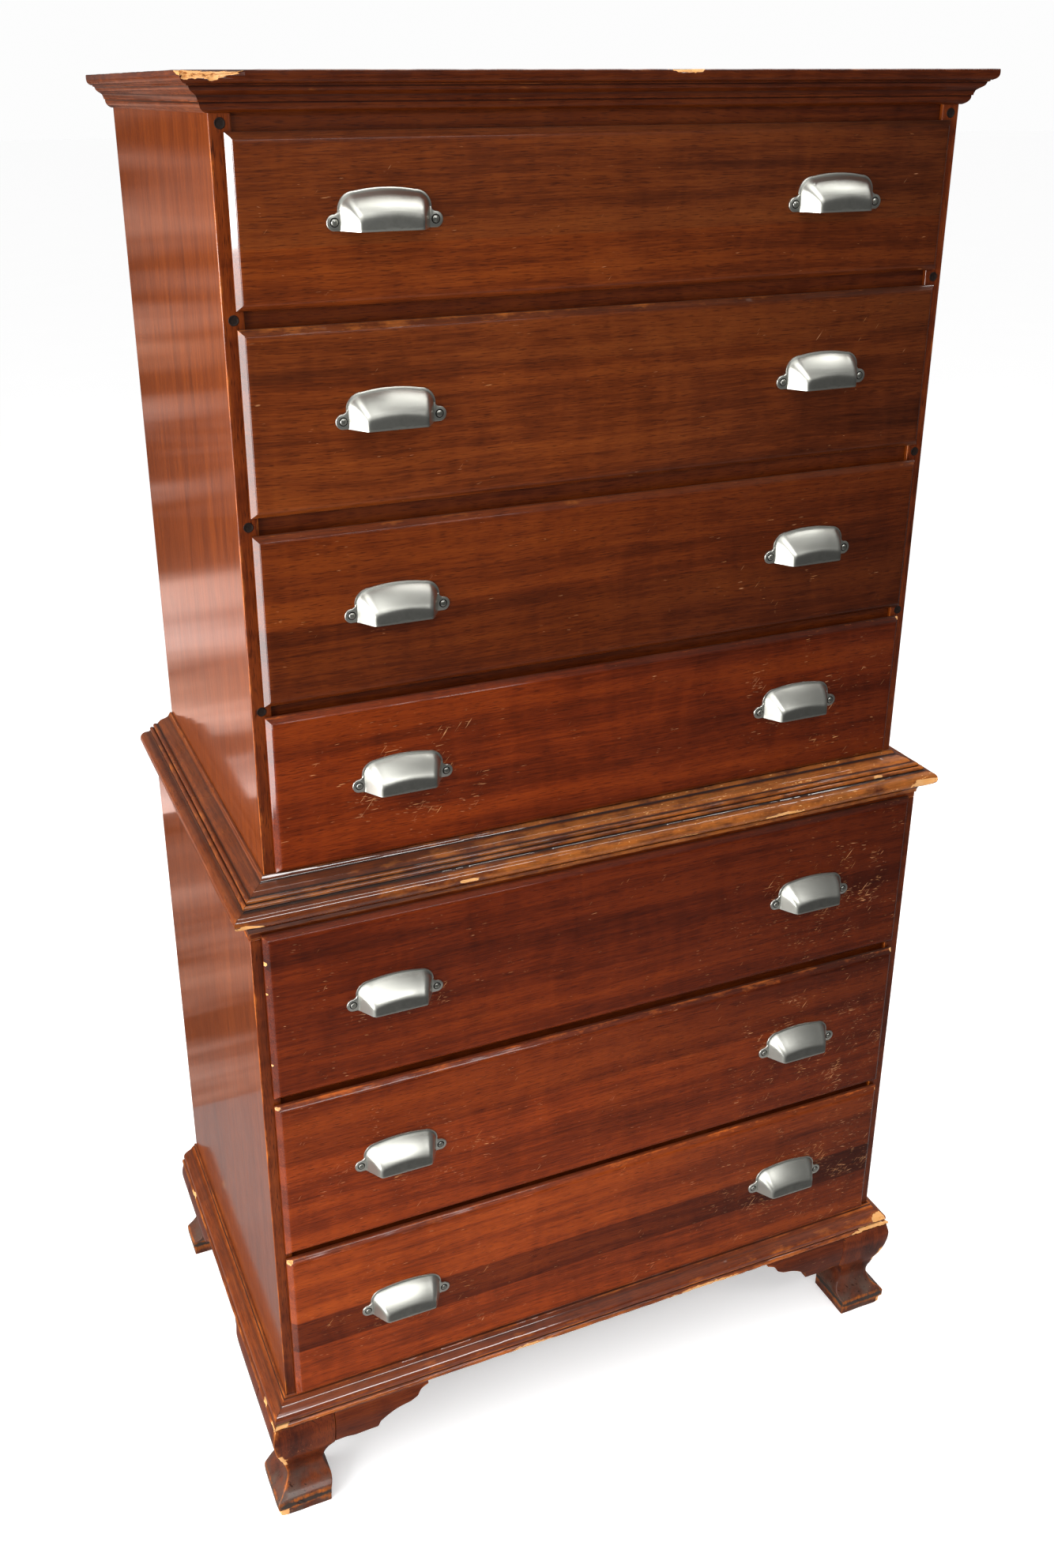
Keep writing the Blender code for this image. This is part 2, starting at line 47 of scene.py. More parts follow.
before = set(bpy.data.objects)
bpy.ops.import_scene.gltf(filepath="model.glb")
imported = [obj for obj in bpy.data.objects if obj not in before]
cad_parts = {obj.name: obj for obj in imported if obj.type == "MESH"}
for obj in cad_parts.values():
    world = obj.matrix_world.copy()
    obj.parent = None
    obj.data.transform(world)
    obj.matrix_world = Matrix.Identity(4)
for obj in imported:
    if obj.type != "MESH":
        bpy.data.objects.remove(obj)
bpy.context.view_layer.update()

# ---------------------------------------------------------------- places, from the frame
UPPER_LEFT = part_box("upper_left_side")
LOWER_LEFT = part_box("lower_left_side")
UPPER_HALF = -UPPER_LEFT[0].x
LOWER_HALF = -LOWER_LEFT[0].x
UPPER_FRONT = UPPER_LEFT[0].y
LOWER_FRONT = LOWER_LEFT[0].y
BACK_Y = UPPER_LEFT[1].y
STEP = LOWER_HALF - UPPER_HALF
FOOT_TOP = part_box("front_left_foot")[1].z
FOOT_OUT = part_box("front_right_foot")[1].x - LOWER_HALF
DRAWERS = range(1, 8)

GAP = 0.0003                # between pieces that touch
MITRE = 0.0002              # half of the joint line where two mouldings meet
REBATE = 0.009              # part of a drawer front that goes into the opening
SIDE_LIP = 0.0102           # drawer front past its box at the sides
RAIL_LIP = 0.0062           # and above and below
BOX_WALL = 0.012
BOX_BOTTOM = 0.008
PIN_DEPTH = 0.0095          # dovetail pins of a drawer front, seen in the box's sides
PIN_TIP = 0.0020            # half their width at the front
PIN_ROOT = 0.0050           # and at the back
PIN_PITCH = 0.040
LEG_IN = 0.0575             # from the case's side to the joint between leg and bracket
BRACKET_END = 0.190
BRACKET_BACK = 0.012        # a bracket's back, behind the case's face


class ChestSizes(bpy.types.PropertyGroup):
    edge_radius: bpy.props.FloatProperty(
        name="Edge radius", description="Rounding of the boards' edges", default=0.0013, unit="LENGTH")
    section_step: bpy.props.FloatProperty(
        name="Section step", description="Distance between cross-sections along a moulding",
        default=0.011, unit="LENGTH")
    dent_depth: bpy.props.FloatProperty(
        name="Dent depth", description="How deep the small dents in worn edges are", default=0.0005,
        unit="LENGTH")
    pull_wall: bpy.props.FloatProperty(
        name="Pull wall", description="Thickness of a pull's metal", default=0.0014, unit="LENGTH")
    screw_radius: bpy.props.FloatProperty(
        name="Screw radius", description="Radius of a pull screw's head", default=0.0036, unit="LENGTH")
    plug_radius: bpy.props.FloatProperty(
        name="Plug radius", description="Radius of the round plugs beside the rails", default=0.0053,
        unit="LENGTH")


class ChestColours(bpy.types.PropertyGroup):
    dark: bpy.props.FloatVectorProperty(
        name="Dark grain", description="Pores and dark streaks of the mahogany",
        default=(0.030, 0.0042, 0.0006), subtype="COLOR", size=3)
    red: bpy.props.FloatVectorProperty(
        name="Red brown", description="Body colour of the mahogany", default=(0.122, 0.0190, 0.0018),
        subtype="COLOR", size=3)
    light: bpy.props.FloatVectorProperty(
        name="Light grain", description="Lighter streaks of the mahogany", default=(0.225, 0.043, 0.0038),
        subtype="COLOR", size=3)
    rubbed: bpy.props.FloatVectorProperty(
        name="Rubbed wood", description="Golden wood where the finish is thin", default=(0.46, 0.180, 0.026),
        subtype="COLOR", size=3)
    bare: bpy.props.FloatVectorProperty(
        name="Bare wood", description="Pale wood in chips and deep scratches", default=(0.72, 0.43, 0.21),
        subtype="COLOR", size=3)
    pine: bpy.props.FloatVectorProperty(
        name="Pine", description="Drawer boxes and back boards", default=(0.60, 0.37, 0.17),
        subtype="COLOR", size=3)
    nickel: bpy.props.FloatVectorProperty(
        name="Nickel", description="Brushed metal of the pulls", default=(0.74, 0.74, 0.67),
        subtype="COLOR", size=3)
    floor: bpy.props.FloatVectorProperty(
        name="Floor", description="Plain pale floor", default=(0.92, 0.92, 0.92), subtype="COLOR", size=3)


# ---------------------------------------------------------------- shader nodes
class Nodes:
    """Adds and links the nodes of one tree; plain numbers and colours go on the sockets."""

    def __init__(self, tree):
        self.tree = tree

    def add(self, kind, settings=None, **sockets):
        node = self.tree.nodes.new("ShaderNode" + kind)
        for key, value in (settings or {}).items():
            setattr(node, key, value)
        for key, value in sockets.items():
            self.put(node.inputs[key.replace("_", " ")], value)
        return node

    def put(self, socket, value):
        if isinstance(value, bpy.types.NodeSocket):
            self.tree.links.new(value, socket)
        else:
            socket.default_value = value

    def math(self, operation, *values, clamp=False):
        node = self.add("Math", {"operation": operation, "use_clamp": clamp})
        for socket, value in zip(node.inputs, values):
            self.put(socket, value)
        return node.outputs[0]

    def swing(self, value, amount, onto):
        """onto, moved by amount times how far value is from one half."""
        return self.math("MULTIPLY_ADD", self.math("SUBTRACT", value, 0.5), amount, onto)

    def span(self, value, low, high, to_low=0.0, to_high=1.0):
        """value taken from low..high to to_low..to_high and held there."""
        node = self.add("MapRange", Value=value)
        for key, number in (("From Min", low), ("From Max", high), ("To Min", to_low), ("To Max", to_high)):
            node.inputs[key].default_value = number
        return node.outputs[0]

    def blend(self, factor, first, second, kind="MIX"):
        node = self.add("Mix", {"data_type": "RGBA", "blend_type": kind})
        self.put(node.inputs[0], factor)
        self.put(node.inputs[6], first)
        self.put(node.inputs[7], second)
        return node.outputs[2]

    def scaled(self, vector, scale):
        node = self.add("VectorMath", {"operation": "MULTIPLY"})
        self.put(node.inputs[0], vector)
        node.inputs[1].default_value = scale
        return node.outputs[0]

    def noise(self, vector, scale=1.0, detail=3.0, roughness=0.5, distortion=0.0):
        node = self.add("TexNoise", Vector=vector, Scale=scale, Detail=detail, Roughness=roughness,
                        Distortion=distortion)
        return node.outputs[0]

    def object_place(self):
        return self.add("TexCoord").outputs["Object"]

    def bump(self, strength, distance, height):
        return self.add("Bump", Strength=strength, Distance=distance, Height=height).outputs[0]

    def attribute(self, name):
        return self.add("Attribute", {"attribute_name": name}).outputs["Fac"]


def new_group(name, inputs, outputs):
    """An empty node group: inputs and outputs are socket names with their kinds and defaults."""
    group = bpy.data.node_groups.new(name, "ShaderNodeTree")
    for label, kind, default in inputs:
        socket = group.interface.new_socket(label, in_out="INPUT", socket_type="NodeSocket" + kind)
        if default is not None:
            socket.default_value = default
    for label, kind in outputs:
        group.interface.new_socket(label, in_out="OUTPUT", socket_type="NodeSocket" + kind)
    return group, Nodes(group), (group.nodes.new("NodeGroupInput"), group.nodes.new("NodeGroupOutput"))


def wood_grain_group():
    """Straight-grained wood: the vector's X runs along the grain, in metres."""
    group, n, (start, end) = new_group(
        "Wood grain",
        [("Vector", "Vector", None), ("Dark", "Color", (0.05, 0.01, 0.003, 1)),
         ("Body", "Color", (0.16, 0.035, 0.01, 1)), ("Light", "Color", (0.3, 0.08, 0.02, 1)),
         ("Bands", "Float", 0.6), ("Pores", "Float", 0.6), ("Figure", "Float", 0.3)],
        [("Colour", "Color"), ("Height", "Float"), ("Tone", "Float")])
    vector = start.outputs["Vector"]
    wander = n.add("VectorMath", {"operation": "SCALE"})
    n.put(wander.inputs[0], n.add("TexNoise", Vector=n.scaled(vector, (2.2, 5.0, 5.0)), Scale=1.0,
                                  Detail=1.0).outputs[1])
    wander.inputs[3].default_value = 0.022
    moved = n.add("VectorMath", {"operation": "ADD"})
    n.put(moved.inputs[0], vector)
    n.put(moved.inputs[1], wander.outputs[0])
    along = moved.outputs[0]
    bands = n.noise(n.scaled(along, (1.4, 30.0, 30.0)), detail=2.0, roughness=0.55)
    streaks = n.noise(n.scaled(along, (7.0, 210.0, 210.0)), detail=3.0, roughness=0.6)
    fleck = n.noise(n.scaled(along, (26.0, 620.0, 620.0)), detail=2.0, roughness=0.5)
    pores = n.span(n.noise(n.scaled(along, (75.0, 1150.0, 1150.0)), detail=1.0), 0.56, 0.70)
    ripple = n.noise(n.scaled(vector, (22.0, 9.0, 9.0)), detail=2.0, distortion=1.4)

    tone = n.swing(bands, start.outputs["Bands"], 0.5)
    tone = n.swing(streaks, 0.34, tone)
    tone = n.swing(fleck, 0.34, tone)
    figure = n.math("MULTIPLY", n.math("SUBTRACT", ripple, 0.5), start.outputs["Figure"])
    tone = n.math("ADD", tone, figure, clamp=True)
    shade = n.blend(n.span(tone, 0.20, 0.52), start.outputs["Dark"], start.outputs["Body"])
    shade = n.blend(n.span(tone, 0.48, 0.86), shade, start.outputs["Light"])
    dark_pores = n.math("MULTIPLY", pores, start.outputs["Pores"])
    shade = n.blend(dark_pores, shade, start.outputs["Dark"])
    height = n.math("SUBTRACT", n.math("MULTIPLY_ADD", fleck, 0.35, streaks), dark_pores)
    n.put(end.inputs["Colour"], shade)
    n.put(end.inputs["Height"], height)
    n.put(end.inputs["Tone"], tone)
    return group


def edge_wear_group():
    """Turns how exposed an edge is into rubbed and chipped patches."""
    group, n, (start, end) = new_group(
        "Edge wear",
        [("Vector", "Vector", None), ("Exposed", "Float", 0.0), ("Broken", "Float", 0.0),
         ("Amount", "Float", 0.6)],
        [("Rubbed", "Float"), ("Chipped", "Float")])
    vector = start.outputs["Vector"]
    patches = n.noise(n.scaled(vector, (26.0, 60.0, 60.0)), detail=3.0, roughness=0.6)
    specks = n.noise(n.scaled(vector, (170.0, 420.0, 420.0)), detail=3.0, roughness=0.6)
    exposed = n.math("MULTIPLY", start.outputs["Exposed"], start.outputs["Amount"])
    rubbed = n.swing(patches, 1.9, exposed)
    rubbed = n.swing(specks, 0.5, rubbed)
    held = n.span(start.outputs["Exposed"], 0.0, 0.25)
    chipped = n.swing(specks, 2.3, n.math("MULTIPLY", exposed, 1.05))
    chipped = n.swing(patches, 1.1, chipped)
    broken = n.swing(specks, 0.6, start.outputs["Broken"])
    chips = n.math("MULTIPLY", n.span(chipped, 1.32, 1.45), held)
    chips = n.math("MAXIMUM", chips, n.span(broken, 0.42, 0.55))
    n.put(end.inputs["Rubbed"], n.math("MULTIPLY", n.span(rubbed, 0.42, 0.95), held))
    n.put(end.inputs["Chipped"], chips)
    return group


def scratches_group():
    """Short pale marks, mostly along the grain, thicker where Density is high."""
    group, n, (start, end) = new_group(
        "Scratches", [("Vector", "Vector", None), ("Density", "Float", 0.1)], [("Marks", "Float")])
    vector = start.outputs["Vector"]
    density = start.outputs["Density"]
    clouds = n.noise(vector, scale=26.0, detail=2.0)
    marks = None
    for turn, along, across, bite in ((0.05, 60.0, 800.0, 0.84), (-0.12, 110.0, 1300.0, 0.85),
                                      (0.9, 45.0, 900.0, 0.87)):
        turned = n.add("VectorRotate", {"rotation_type": "Y_AXIS"}, Vector=vector, Angle=turn).outputs[0]
        dash = n.noise(n.scaled(turned, (along, across, across)), detail=1.0, roughness=0.4)
        want = n.math("MULTIPLY_ADD", density, -0.24, bite)
        want = n.swing(clouds, -0.42, want)
        mark = n.math("MULTIPLY", n.math("SUBTRACT", dash, want), 16.0, clamp=True)
        marks = mark if marks is None else n.math("MAXIMUM", marks, mark)
    n.put(end.inputs["Marks"], marks)
    return group


def dust_group():
    """A thin grey film on faces that look up."""
    group, n, (start, end) = new_group(
        "Dust", [("Vector", "Vector", None), ("Amount", "Float", 0.3)], [("Film", "Float")])
    up = n.add("SeparateXYZ", Vector=n.add("NewGeometry").outputs["Normal"]).outputs["Z"]
    clouds = n.noise(start.outputs["Vector"], scale=9.0, detail=5.0, roughness=0.65)
    film = n.math("MULTIPLY", n.span(up, 0.55, 0.98), n.span(clouds, 0.3, 0.75, 0.35, 1.0))
    n.put(end.inputs["Film"], n.math("MULTIPLY", film, start.outputs["Amount"]))
    return group


# Reads the object's own coordinates with the grain's direction first.
GRAIN_ORDER = {"X": ("X", "Y", "Z"), "Y": ("Y", "X", "Z"), "Z": ("Z", "X", "Y")}


def grain_vector(n, along):
    """The place with the grain's direction first, and the plain place; each board has its own shift."""
    place = n.object_place()
    parts = n.add("SeparateXYZ", Vector=place)
    shift = n.attribute("board")
    first, second, third = (parts.outputs[key] for key in GRAIN_ORDER[along])
    joined = n.add("CombineXYZ")
    n.put(joined.inputs[0], n.math("ADD", first, shift))
    n.put(joined.inputs[1], second)
    n.put(joined.inputs[2], third)
    return joined.outputs[0], place


def use_group(n, name, **sockets):
    """Places a shared group in a material and returns its outputs."""
    node = n.tree.nodes.new("ShaderNodeGroup")
    node.node_tree = bpy.data.node_groups[name]
    for key, value in sockets.items():
        n.put(node.inputs[key], value)
    return node.outputs


def rgba(colour, factor=1.0):
    """A colour socket's value, with the colour times a factor or a tint."""
    factors = factor if isinstance(factor, tuple) else (factor,) * 3
    return (*(part * by for part, by in zip(colour, factors)), 1.0)


def start_material(name):
    """A new material, its nodes and its shader."""
    material = bpy.data.materials.new(name)
    material.use_nodes = True
    n = Nodes(material.node_tree)
    return material, n, material.node_tree.nodes["Principled BSDF"]


def mahogany(name, colours, along="X", tone=1.0, wear=0.5, bands=0.6, pores=0.6, figure=0.3,
             rough=0.34, coat=0.25, coat_rough=0.14, coat_ior=1.5, seams=(), marks=None, ripple=0.0,
             bump=0.25, hollow_shade=0.75, right_shade=1.0, toe=False):
    """Lacquered mahogany. seams are (height, tone) pairs of boards glued edge to edge, from the
    bottom up. marks is (density, [(x, z, reach, density)]): scratches all over and round places.
    The last three arguments give painted shade in the hollows, painted shade towards the right end, and on a
    leg's toe its scuffs and a painted shade band."""
    material, n, shader = start_material(name)
    vector, place = grain_vector(n, along)
    grain = use_group(n, "Wood grain", Vector=vector, Dark=rgba(colours.dark, tone),
                      Body=rgba(colours.red, tone),
                      Light=rgba(colours.light, tone), Bands=bands, Pores=pores, Figure=figure)
    colour = grain["Colour"]
    parts = n.add("SeparateXYZ", Vector=place).outputs
    for height, shade in seams:
        wavy = n.math("MULTIPLY_ADD", parts["X"], 0.004, height)
        above = n.math("MULTIPLY", n.math("SUBTRACT", parts["Z"], wavy), 900.0, clamp=True)
        colour = n.blend(above, colour, n.blend(1.0, grain["Colour"], rgba(shade), "MULTIPLY"))
    # Painted shade: the colour darkens towards the right end, where less light falls.
    if right_shade < 1.0:
        darker = n.span(parts["X"], -0.12, 0.43, 1.0, right_shade)
        grey = n.add("CombineXYZ", X=darker, Y=darker, Z=darker).outputs[0]
        colour = n.blend(1.0, colour, grey, "MULTIPLY")
    if toe:
        rough_edge = n.math("MULTIPLY_ADD", n.noise(place, scale=120.0, detail=4.0), 0.008, parts["Z"])
        patches = n.span(n.noise(place, scale=45.0, detail=4.0), 0.38, 0.62, 0.25, 0.85)
        scuff = n.math("MULTIPLY", n.span(rough_edge, 0.078, 0.036), patches)
        colour = n.blend(scuff, colour, (0.078, 0.050, 0.038, 1.0))
        # Painted shade: a near-black band across the toe's upper face.
        toe_shade_band = n.math("MULTIPLY", n.span(rough_edge, 0.0165, 0.0185), n.span(rough_edge, 0.030, 0.026))
        colour = n.blend(n.math("MULTIPLY", toe_shade_band, 0.85), colour, (0.030, 0.026, 0.022, 1.0))
        slanted = n.add("VectorRotate", {"rotation_type": "Y_AXIS"}, Vector=place, Angle=0.75).outputs[0]
        strokes = n.noise(n.scaled(slanted, (260.0, 260.0, 22.0)), detail=1.0)
        colour = n.blend(n.span(strokes, 0.66, 0.74, 0.0, 0.8), colour, rgba(colours.dark, 0.5))
    worn = use_group(n, "Edge wear", Vector=vector, Exposed=n.attribute("wear"), Broken=n.attribute("bare"),
                     Amount=wear)
    brighter = n.blend(1.0, grain["Colour"], (2.6, 2.9, 2.6, 1), "MULTIPLY")
    golden = n.blend(0.75, rgba(colours.rubbed), brighter)
    colour = n.blend(worn["Rubbed"], colour, golden)
    pale = worn["Chipped"]
    if marks:
        density, places = marks
        for x, z, reach, more in places:
            away = n.add("VectorMath", {"operation": "DISTANCE"})
            flat = n.add("CombineXYZ", X=parts["X"], Z=n.math("MULTIPLY", parts["Z"], 1.5)).outputs[0]
            n.put(away.inputs[0], flat)
            away.inputs[1].default_value = (x, 0.0, z * 1.5)
            near = n.span(away.outputs["Value"], 0.03, reach, more, 0.0)
            density = n.math("ADD", near, density)
        scratches = use_group(n, "Scratches", Vector=vector, Density=density)
        scratched = n.blend(n.noise(vector, scale=35.0), rgba(colours.rubbed, 1.1),
                            rgba(colours.bare, (0.85, 0.75, 0.9)))
        colour = n.blend(n.math("MULTIPLY", scratches["Marks"], 0.75), colour, scratched)
    colour = n.blend(pale, colour, n.blend(n.noise(vector, scale=60.0), rgba(colours.bare),
                                           rgba(colours.rubbed, 1.35)))
    # Painted shade: the colour darkens in the hollows, where the wear value is negative.
    hollow_shade_mask = n.math("MULTIPLY", n.span(n.attribute("wear"), 0.0, -0.7), hollow_shade)
    colour = n.blend(hollow_shade_mask, colour, rgba(colours.dark, 0.35))
    film = use_group(n, "Dust", Vector=place, Amount=0.10)["Film"]
    colour = n.blend(film, colour, (0.30, 0.25, 0.21, 1.0))
    n.put(shader.inputs["Base Color"], colour)
    bare = n.math("MAXIMUM", pale, n.math("MULTIPLY", worn["Rubbed"], 0.4))
    haze = n.noise(place, scale=7.0, detail=4.0, roughness=0.6)
    rough_here = n.swing(haze, 0.22, rough)
    n.put(shader.inputs["Roughness"], n.math("MULTIPLY_ADD", bare, 0.35, rough_here, clamp=True))
    polish = n.math("MULTIPLY_ADD", n.attribute("gloss"), 1.0 - coat, coat)
    n.put(shader.inputs["Coat Weight"], n.math("MULTIPLY", n.math("SUBTRACT", 1.0, bare), polish))
    shader.inputs["Specular IOR Level"].default_value = 0.15
    shader.inputs["Coat IOR"].default_value = coat_ior
    shader.inputs["Coat Roughness"].default_value = coat_rough
    shader.inputs["IOR"].default_value = 1.45
    height = n.math("MULTIPLY", grain["Height"], 0.6)
    if ripple:
        waves = n.noise(n.scaled(vector, (3.0, 95.0, 95.0)), detail=2.0)
        height = n.math("MULTIPLY_ADD", waves, ripple, height)
    height = n.math("MULTIPLY_ADD", pale, -1.2, height)
    n.put(shader.inputs["Normal"], n.bump(bump, 0.0006, height))
    return material


def secondary_wood(name, colours, along, tone=(1.0, 1.0, 1.0)):
    """Plain unfinished wood of the drawer boxes and backs, a little stained."""
    material, n, shader = start_material(name)
    vector, place = grain_vector(n, along)
    dark, body, light = (rgba(rgba(colours.pine, tone)[:3], by) for by in (0.45, 0.85, 1.2))
    grain = use_group(n, "Wood grain", Vector=vector, Dark=dark, Body=body, Light=light, Bands=0.75,
                      Pores=0.15, Figure=0.15)
    worn = use_group(n, "Edge wear", Vector=vector, Exposed=n.attribute("wear"), Broken=0.0, Amount=0.4)
    stain = n.span(n.noise(place, scale=3.2, detail=4.0, roughness=0.6), 0.5, 0.8, 0.0, 0.45)
    colour = n.blend(stain, grain["Colour"], rgba(colours.pine, 0.4))
    colour = n.blend(worn["Rubbed"], colour, rgba(colours.pine, 0.55))
    colour = n.blend(use_group(n, "Dust", Vector=place, Amount=0.25)["Film"], colour, (0.4, 0.38, 0.34, 1))
    n.put(shader.inputs["Base Color"], colour)
    shader.inputs["Roughness"].default_value = 0.72
    n.put(shader.inputs["Normal"], n.bump(0.35, 0.0006, grain["Height"]))
    return material


def brushed_nickel(name, colours, tone=1.0, rough=0.24):
    """Brushed along X, darker and duller in its hollows and where its mesh paints shade."""
    material, n, shader = start_material(name)
    place = n.object_place()
    brushing = n.noise(n.scaled(place, (40.0, 900.0, 900.0)), detail=1.0)
    smudges = n.noise(place, scale=55.0, detail=4.0, roughness=0.65, distortion=0.4)
    # The wear attribute holds tarnish, and on a cup painted shade on its face and a painted highlight at its
    # foot.
    tarnish_and_shade = n.swing(smudges, 0.22, n.attribute("wear"))
    tarnish_and_shade = n.span(tarnish_and_shade, 0.10, 1.0)
    colour = n.blend(tarnish_and_shade, rgba(colours.nickel, tone), rgba(colours.nickel, 0.20 * tone))
    n.put(shader.inputs["Base Color"], colour)
    shader.inputs["Metallic"].default_value = 1.0
    dull = n.math("MULTIPLY_ADD", tarnish_and_shade, 0.25, rough)
    dull = n.swing(smudges, 0.10, dull)
    n.put(shader.inputs["Roughness"], n.swing(brushing, 0.06, dull))
    n.put(shader.inputs["Normal"], n.bump(0.02, 0.0002, brushing))
    return material


def dark_filler(name, colour, rough=0.5):
    """Speckled dark filler of the plugs and the screw slots."""
    material, n, shader = start_material(name)
    place = n.object_place()
    spots = n.noise(place, scale=420.0, detail=3.0)
    n.put(shader.inputs["Base Color"], n.blend(spots, rgba(colour, 0.55), rgba(colour, 1.45)))
    shader.inputs["Specular IOR Level"].default_value = 0.2
    n.put(shader.inputs["Roughness"], n.span(spots, 0.3, 0.7, rough - 0.1, rough + 0.15))
    n.put(shader.inputs["Normal"], n.bump(0.3, 0.0003, spots))
    return material


def material(name):
    """A finish that is already made."""
    return bpy.data.materials[name]


# ---------------------------------------------------------------- meshes
def link_object(name, data):
    """A new object in the scene."""
    thing = bpy.data.objects.new(name, data)
    bpy.context.scene.collection.objects.link(thing)
    return thing


def add_piece(name, points, faces, materials, body, replaces=(), wear=None, bare=None, gloss=None,
              board=0.0, angle=35):
    """A mesh object with its wear, broken and board values, riding on a body of the frame."""
    mesh = bpy.data.meshes.new(name)
    mesh.from_pydata([tuple(map(float, point)) for point in points], [], faces)
    for finish in materials:
        mesh.materials.append(material(finish))
    work = bmesh.new()
    work.from_mesh(mesh)
    bmesh.ops.recalc_face_normals(work, faces=work.faces)
    work.to_mesh(mesh)
    work.free()
    count = len(mesh.vertices)
    for key, values in (("wear", wear), ("bare", bare), ("gloss", gloss), ("board", np.full(count, board))):
        if values is not None:
            mesh.attributes.new(key, "FLOAT", "POINT").data.foreach_set("value",
                                                                        np.asarray(values, float).ravel())
    mesh.shade_smooth()
    mesh.set_sharp_from_angle(angle=math.radians(angle))
    thing = link_object(name, mesh)
    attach(thing, body)
    if replaces:
        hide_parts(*replaces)
    return thing


def settled(points, faces, tags):
    """The same points and faces, with a tag for each face, in an order that doesn't depend on how
    they were made; and for each point, its old number."""
    points = [tuple(float(part) for part in point) for point in points]
    order = sorted(range(len(points)), key=lambda index: tuple(round(part, 6) for part in points[index]))
    place = {old: new for new, old in enumerate(order)}
    rings = []
    for face, tag in zip(faces, tags):
        ring = [place[index] for index in face]
        first = ring.index(min(ring))
        rings.append((tuple(ring[first:] + ring[:first]), tag))
    rings.sort()
    return [points[index] for index in order], [ring for ring, _ in rings], [tag for _, tag in rings], order


def settle_mesh(mesh):
    """Rebuilds a mesh in its settled order."""
    points, faces, tags, _ = settled([vert.co for vert in mesh.vertices],
                                     [tuple(face.vertices) for face in mesh.polygons],
                                     [face.material_index for face in mesh.polygons])
    mesh.clear_geometry()
    mesh.from_pydata(points, [], faces)
    mesh.polygons.foreach_set("material_index", tags)


def arc(centre, radius, start, end, steps):
    """Points round a centre, between two angles in degrees."""
    angles = np.radians(np.linspace(start, end, steps + 1))
    return [(centre[0] + radius * math.cos(a), centre[1] + radius * math.sin(a)) for a in angles]


def spline(points, steps):
    """A smooth line through the points."""
    p = np.array(points, float)
    p = np.vstack([2 * p[0] - p[1], p, 2 * p[-1] - p[-2]])
    line = [tuple(p[1])]
    for a, b, c, d in zip(p, p[1:], p[2:], p[3:]):
        for t in np.linspace(0, 1, steps + 1)[1:]:
            line.append(tuple(0.5 * (2 * b + (c - a) * t + (2 * a - 5 * b + 4 * c - d) * t * t
                                     + (3 * b - a - 3 * c + d) * t ** 3)))
    return line


def densified(points, step):
    """The same open line with no stretch longer than step."""
    line = [points[0]]
    for first, last in zip(points, points[1:]):
        count = max(1, math.ceil(math.dist(first, last) / step))
        line += [tuple(np.array(first) + (np.array(last) - np.array(first)) * i / count)
                 for i in range(1, count + 1)]
    return line


def exposure(outline, reach=0.0022):
    """For each point of a closed outline: its outward normal, and how far it stands out of the
    line between its neighbours a short way off, 1 on a sharp edge and -1 in a sharp hollow."""
    p = np.array(outline, float)
    closed = np.vstack([p, p[:1]])
    length = np.concatenate([[0], np.cumsum(np.linalg.norm(np.diff(closed, axis=0), axis=1))])

    def at(distance):
        return np.column_stack([np.interp(distance % length[-1], length, closed[:, k]) for k in (0, 1)])

    before = at(length[:-1] - reach)
    after = at(length[:-1] + reach)
    line = after - before
    normal = np.column_stack([line[:, 1], -line[:, 0]])
    normal /= np.maximum(np.linalg.norm(normal, axis=1), 1e-9)[:, None]
    area = np.sum(closed[:-1, 0] * closed[1:, 1] - closed[1:, 0] * closed[:-1, 1])
    if area < 0:
        normal = -normal
    stands = np.sum((p - (before + after) / 2) * normal, axis=1)
    return normal, np.clip(stands / (0.42 * reach), -1, 1)


def loft(rings, closed=True, caps=True):
    """Faces between rings of equal length, first to last."""
    count = len(rings[0])
    faces = []
    for ring in range(len(rings) - 1):
        for index in range(count if closed else count - 1):
            after = (index + 1) % count
            a = ring * count
            faces.append((a + index, a + after, a + count + after, a + count + index))
    if caps:
        faces.append(tuple(range(count))[::-1])
        faces.append(tuple((len(rings) - 1) * count + i for i in range(count)))
    return np.vstack(rings), faces


def rough(point, scale, seed=0.0):
    """Smooth noise between about -1 and 1."""
    return noise.fractal(Vector(point) * scale + Vector((seed, seed * 0.7, -seed)), 0.8, 2.0, 3)


def dented(points, inward, wear, depth, chips, seed):
    """Moves exposed points inward a little, and points inside a chip by its depth.

    A chip is its centre, its reach along each axis and its depth.
    """
    moved = np.array(points, float)
    bare = np.zeros(len(moved))
    for index, point in enumerate(moved):
        shift = 0.0
        if wear[index] > 0.15:
            shift = depth * wear[index] * max(0.0, 0.25 + rough(point, 55.0, seed))
        for centre, reach, chip_depth in chips:
            away = (point - centre) / reach
            if abs(away).max() > 1.4:
                continue
            edge = 1.0 + 0.35 * rough(point, 160.0, seed + 5)
            inside = edge - math.sqrt(away @ away)
            if inside > 0 and inward[index] @ inward[index] > 0:
                bare[index] = min(1.0, inside * 6)
                shift += chip_depth * min(1.0, inside * 2.2) * (0.8 + 0.35 * rough(point, 320.0, seed))
        moved[index] = point + inward[index] * shift
    return moved, bare


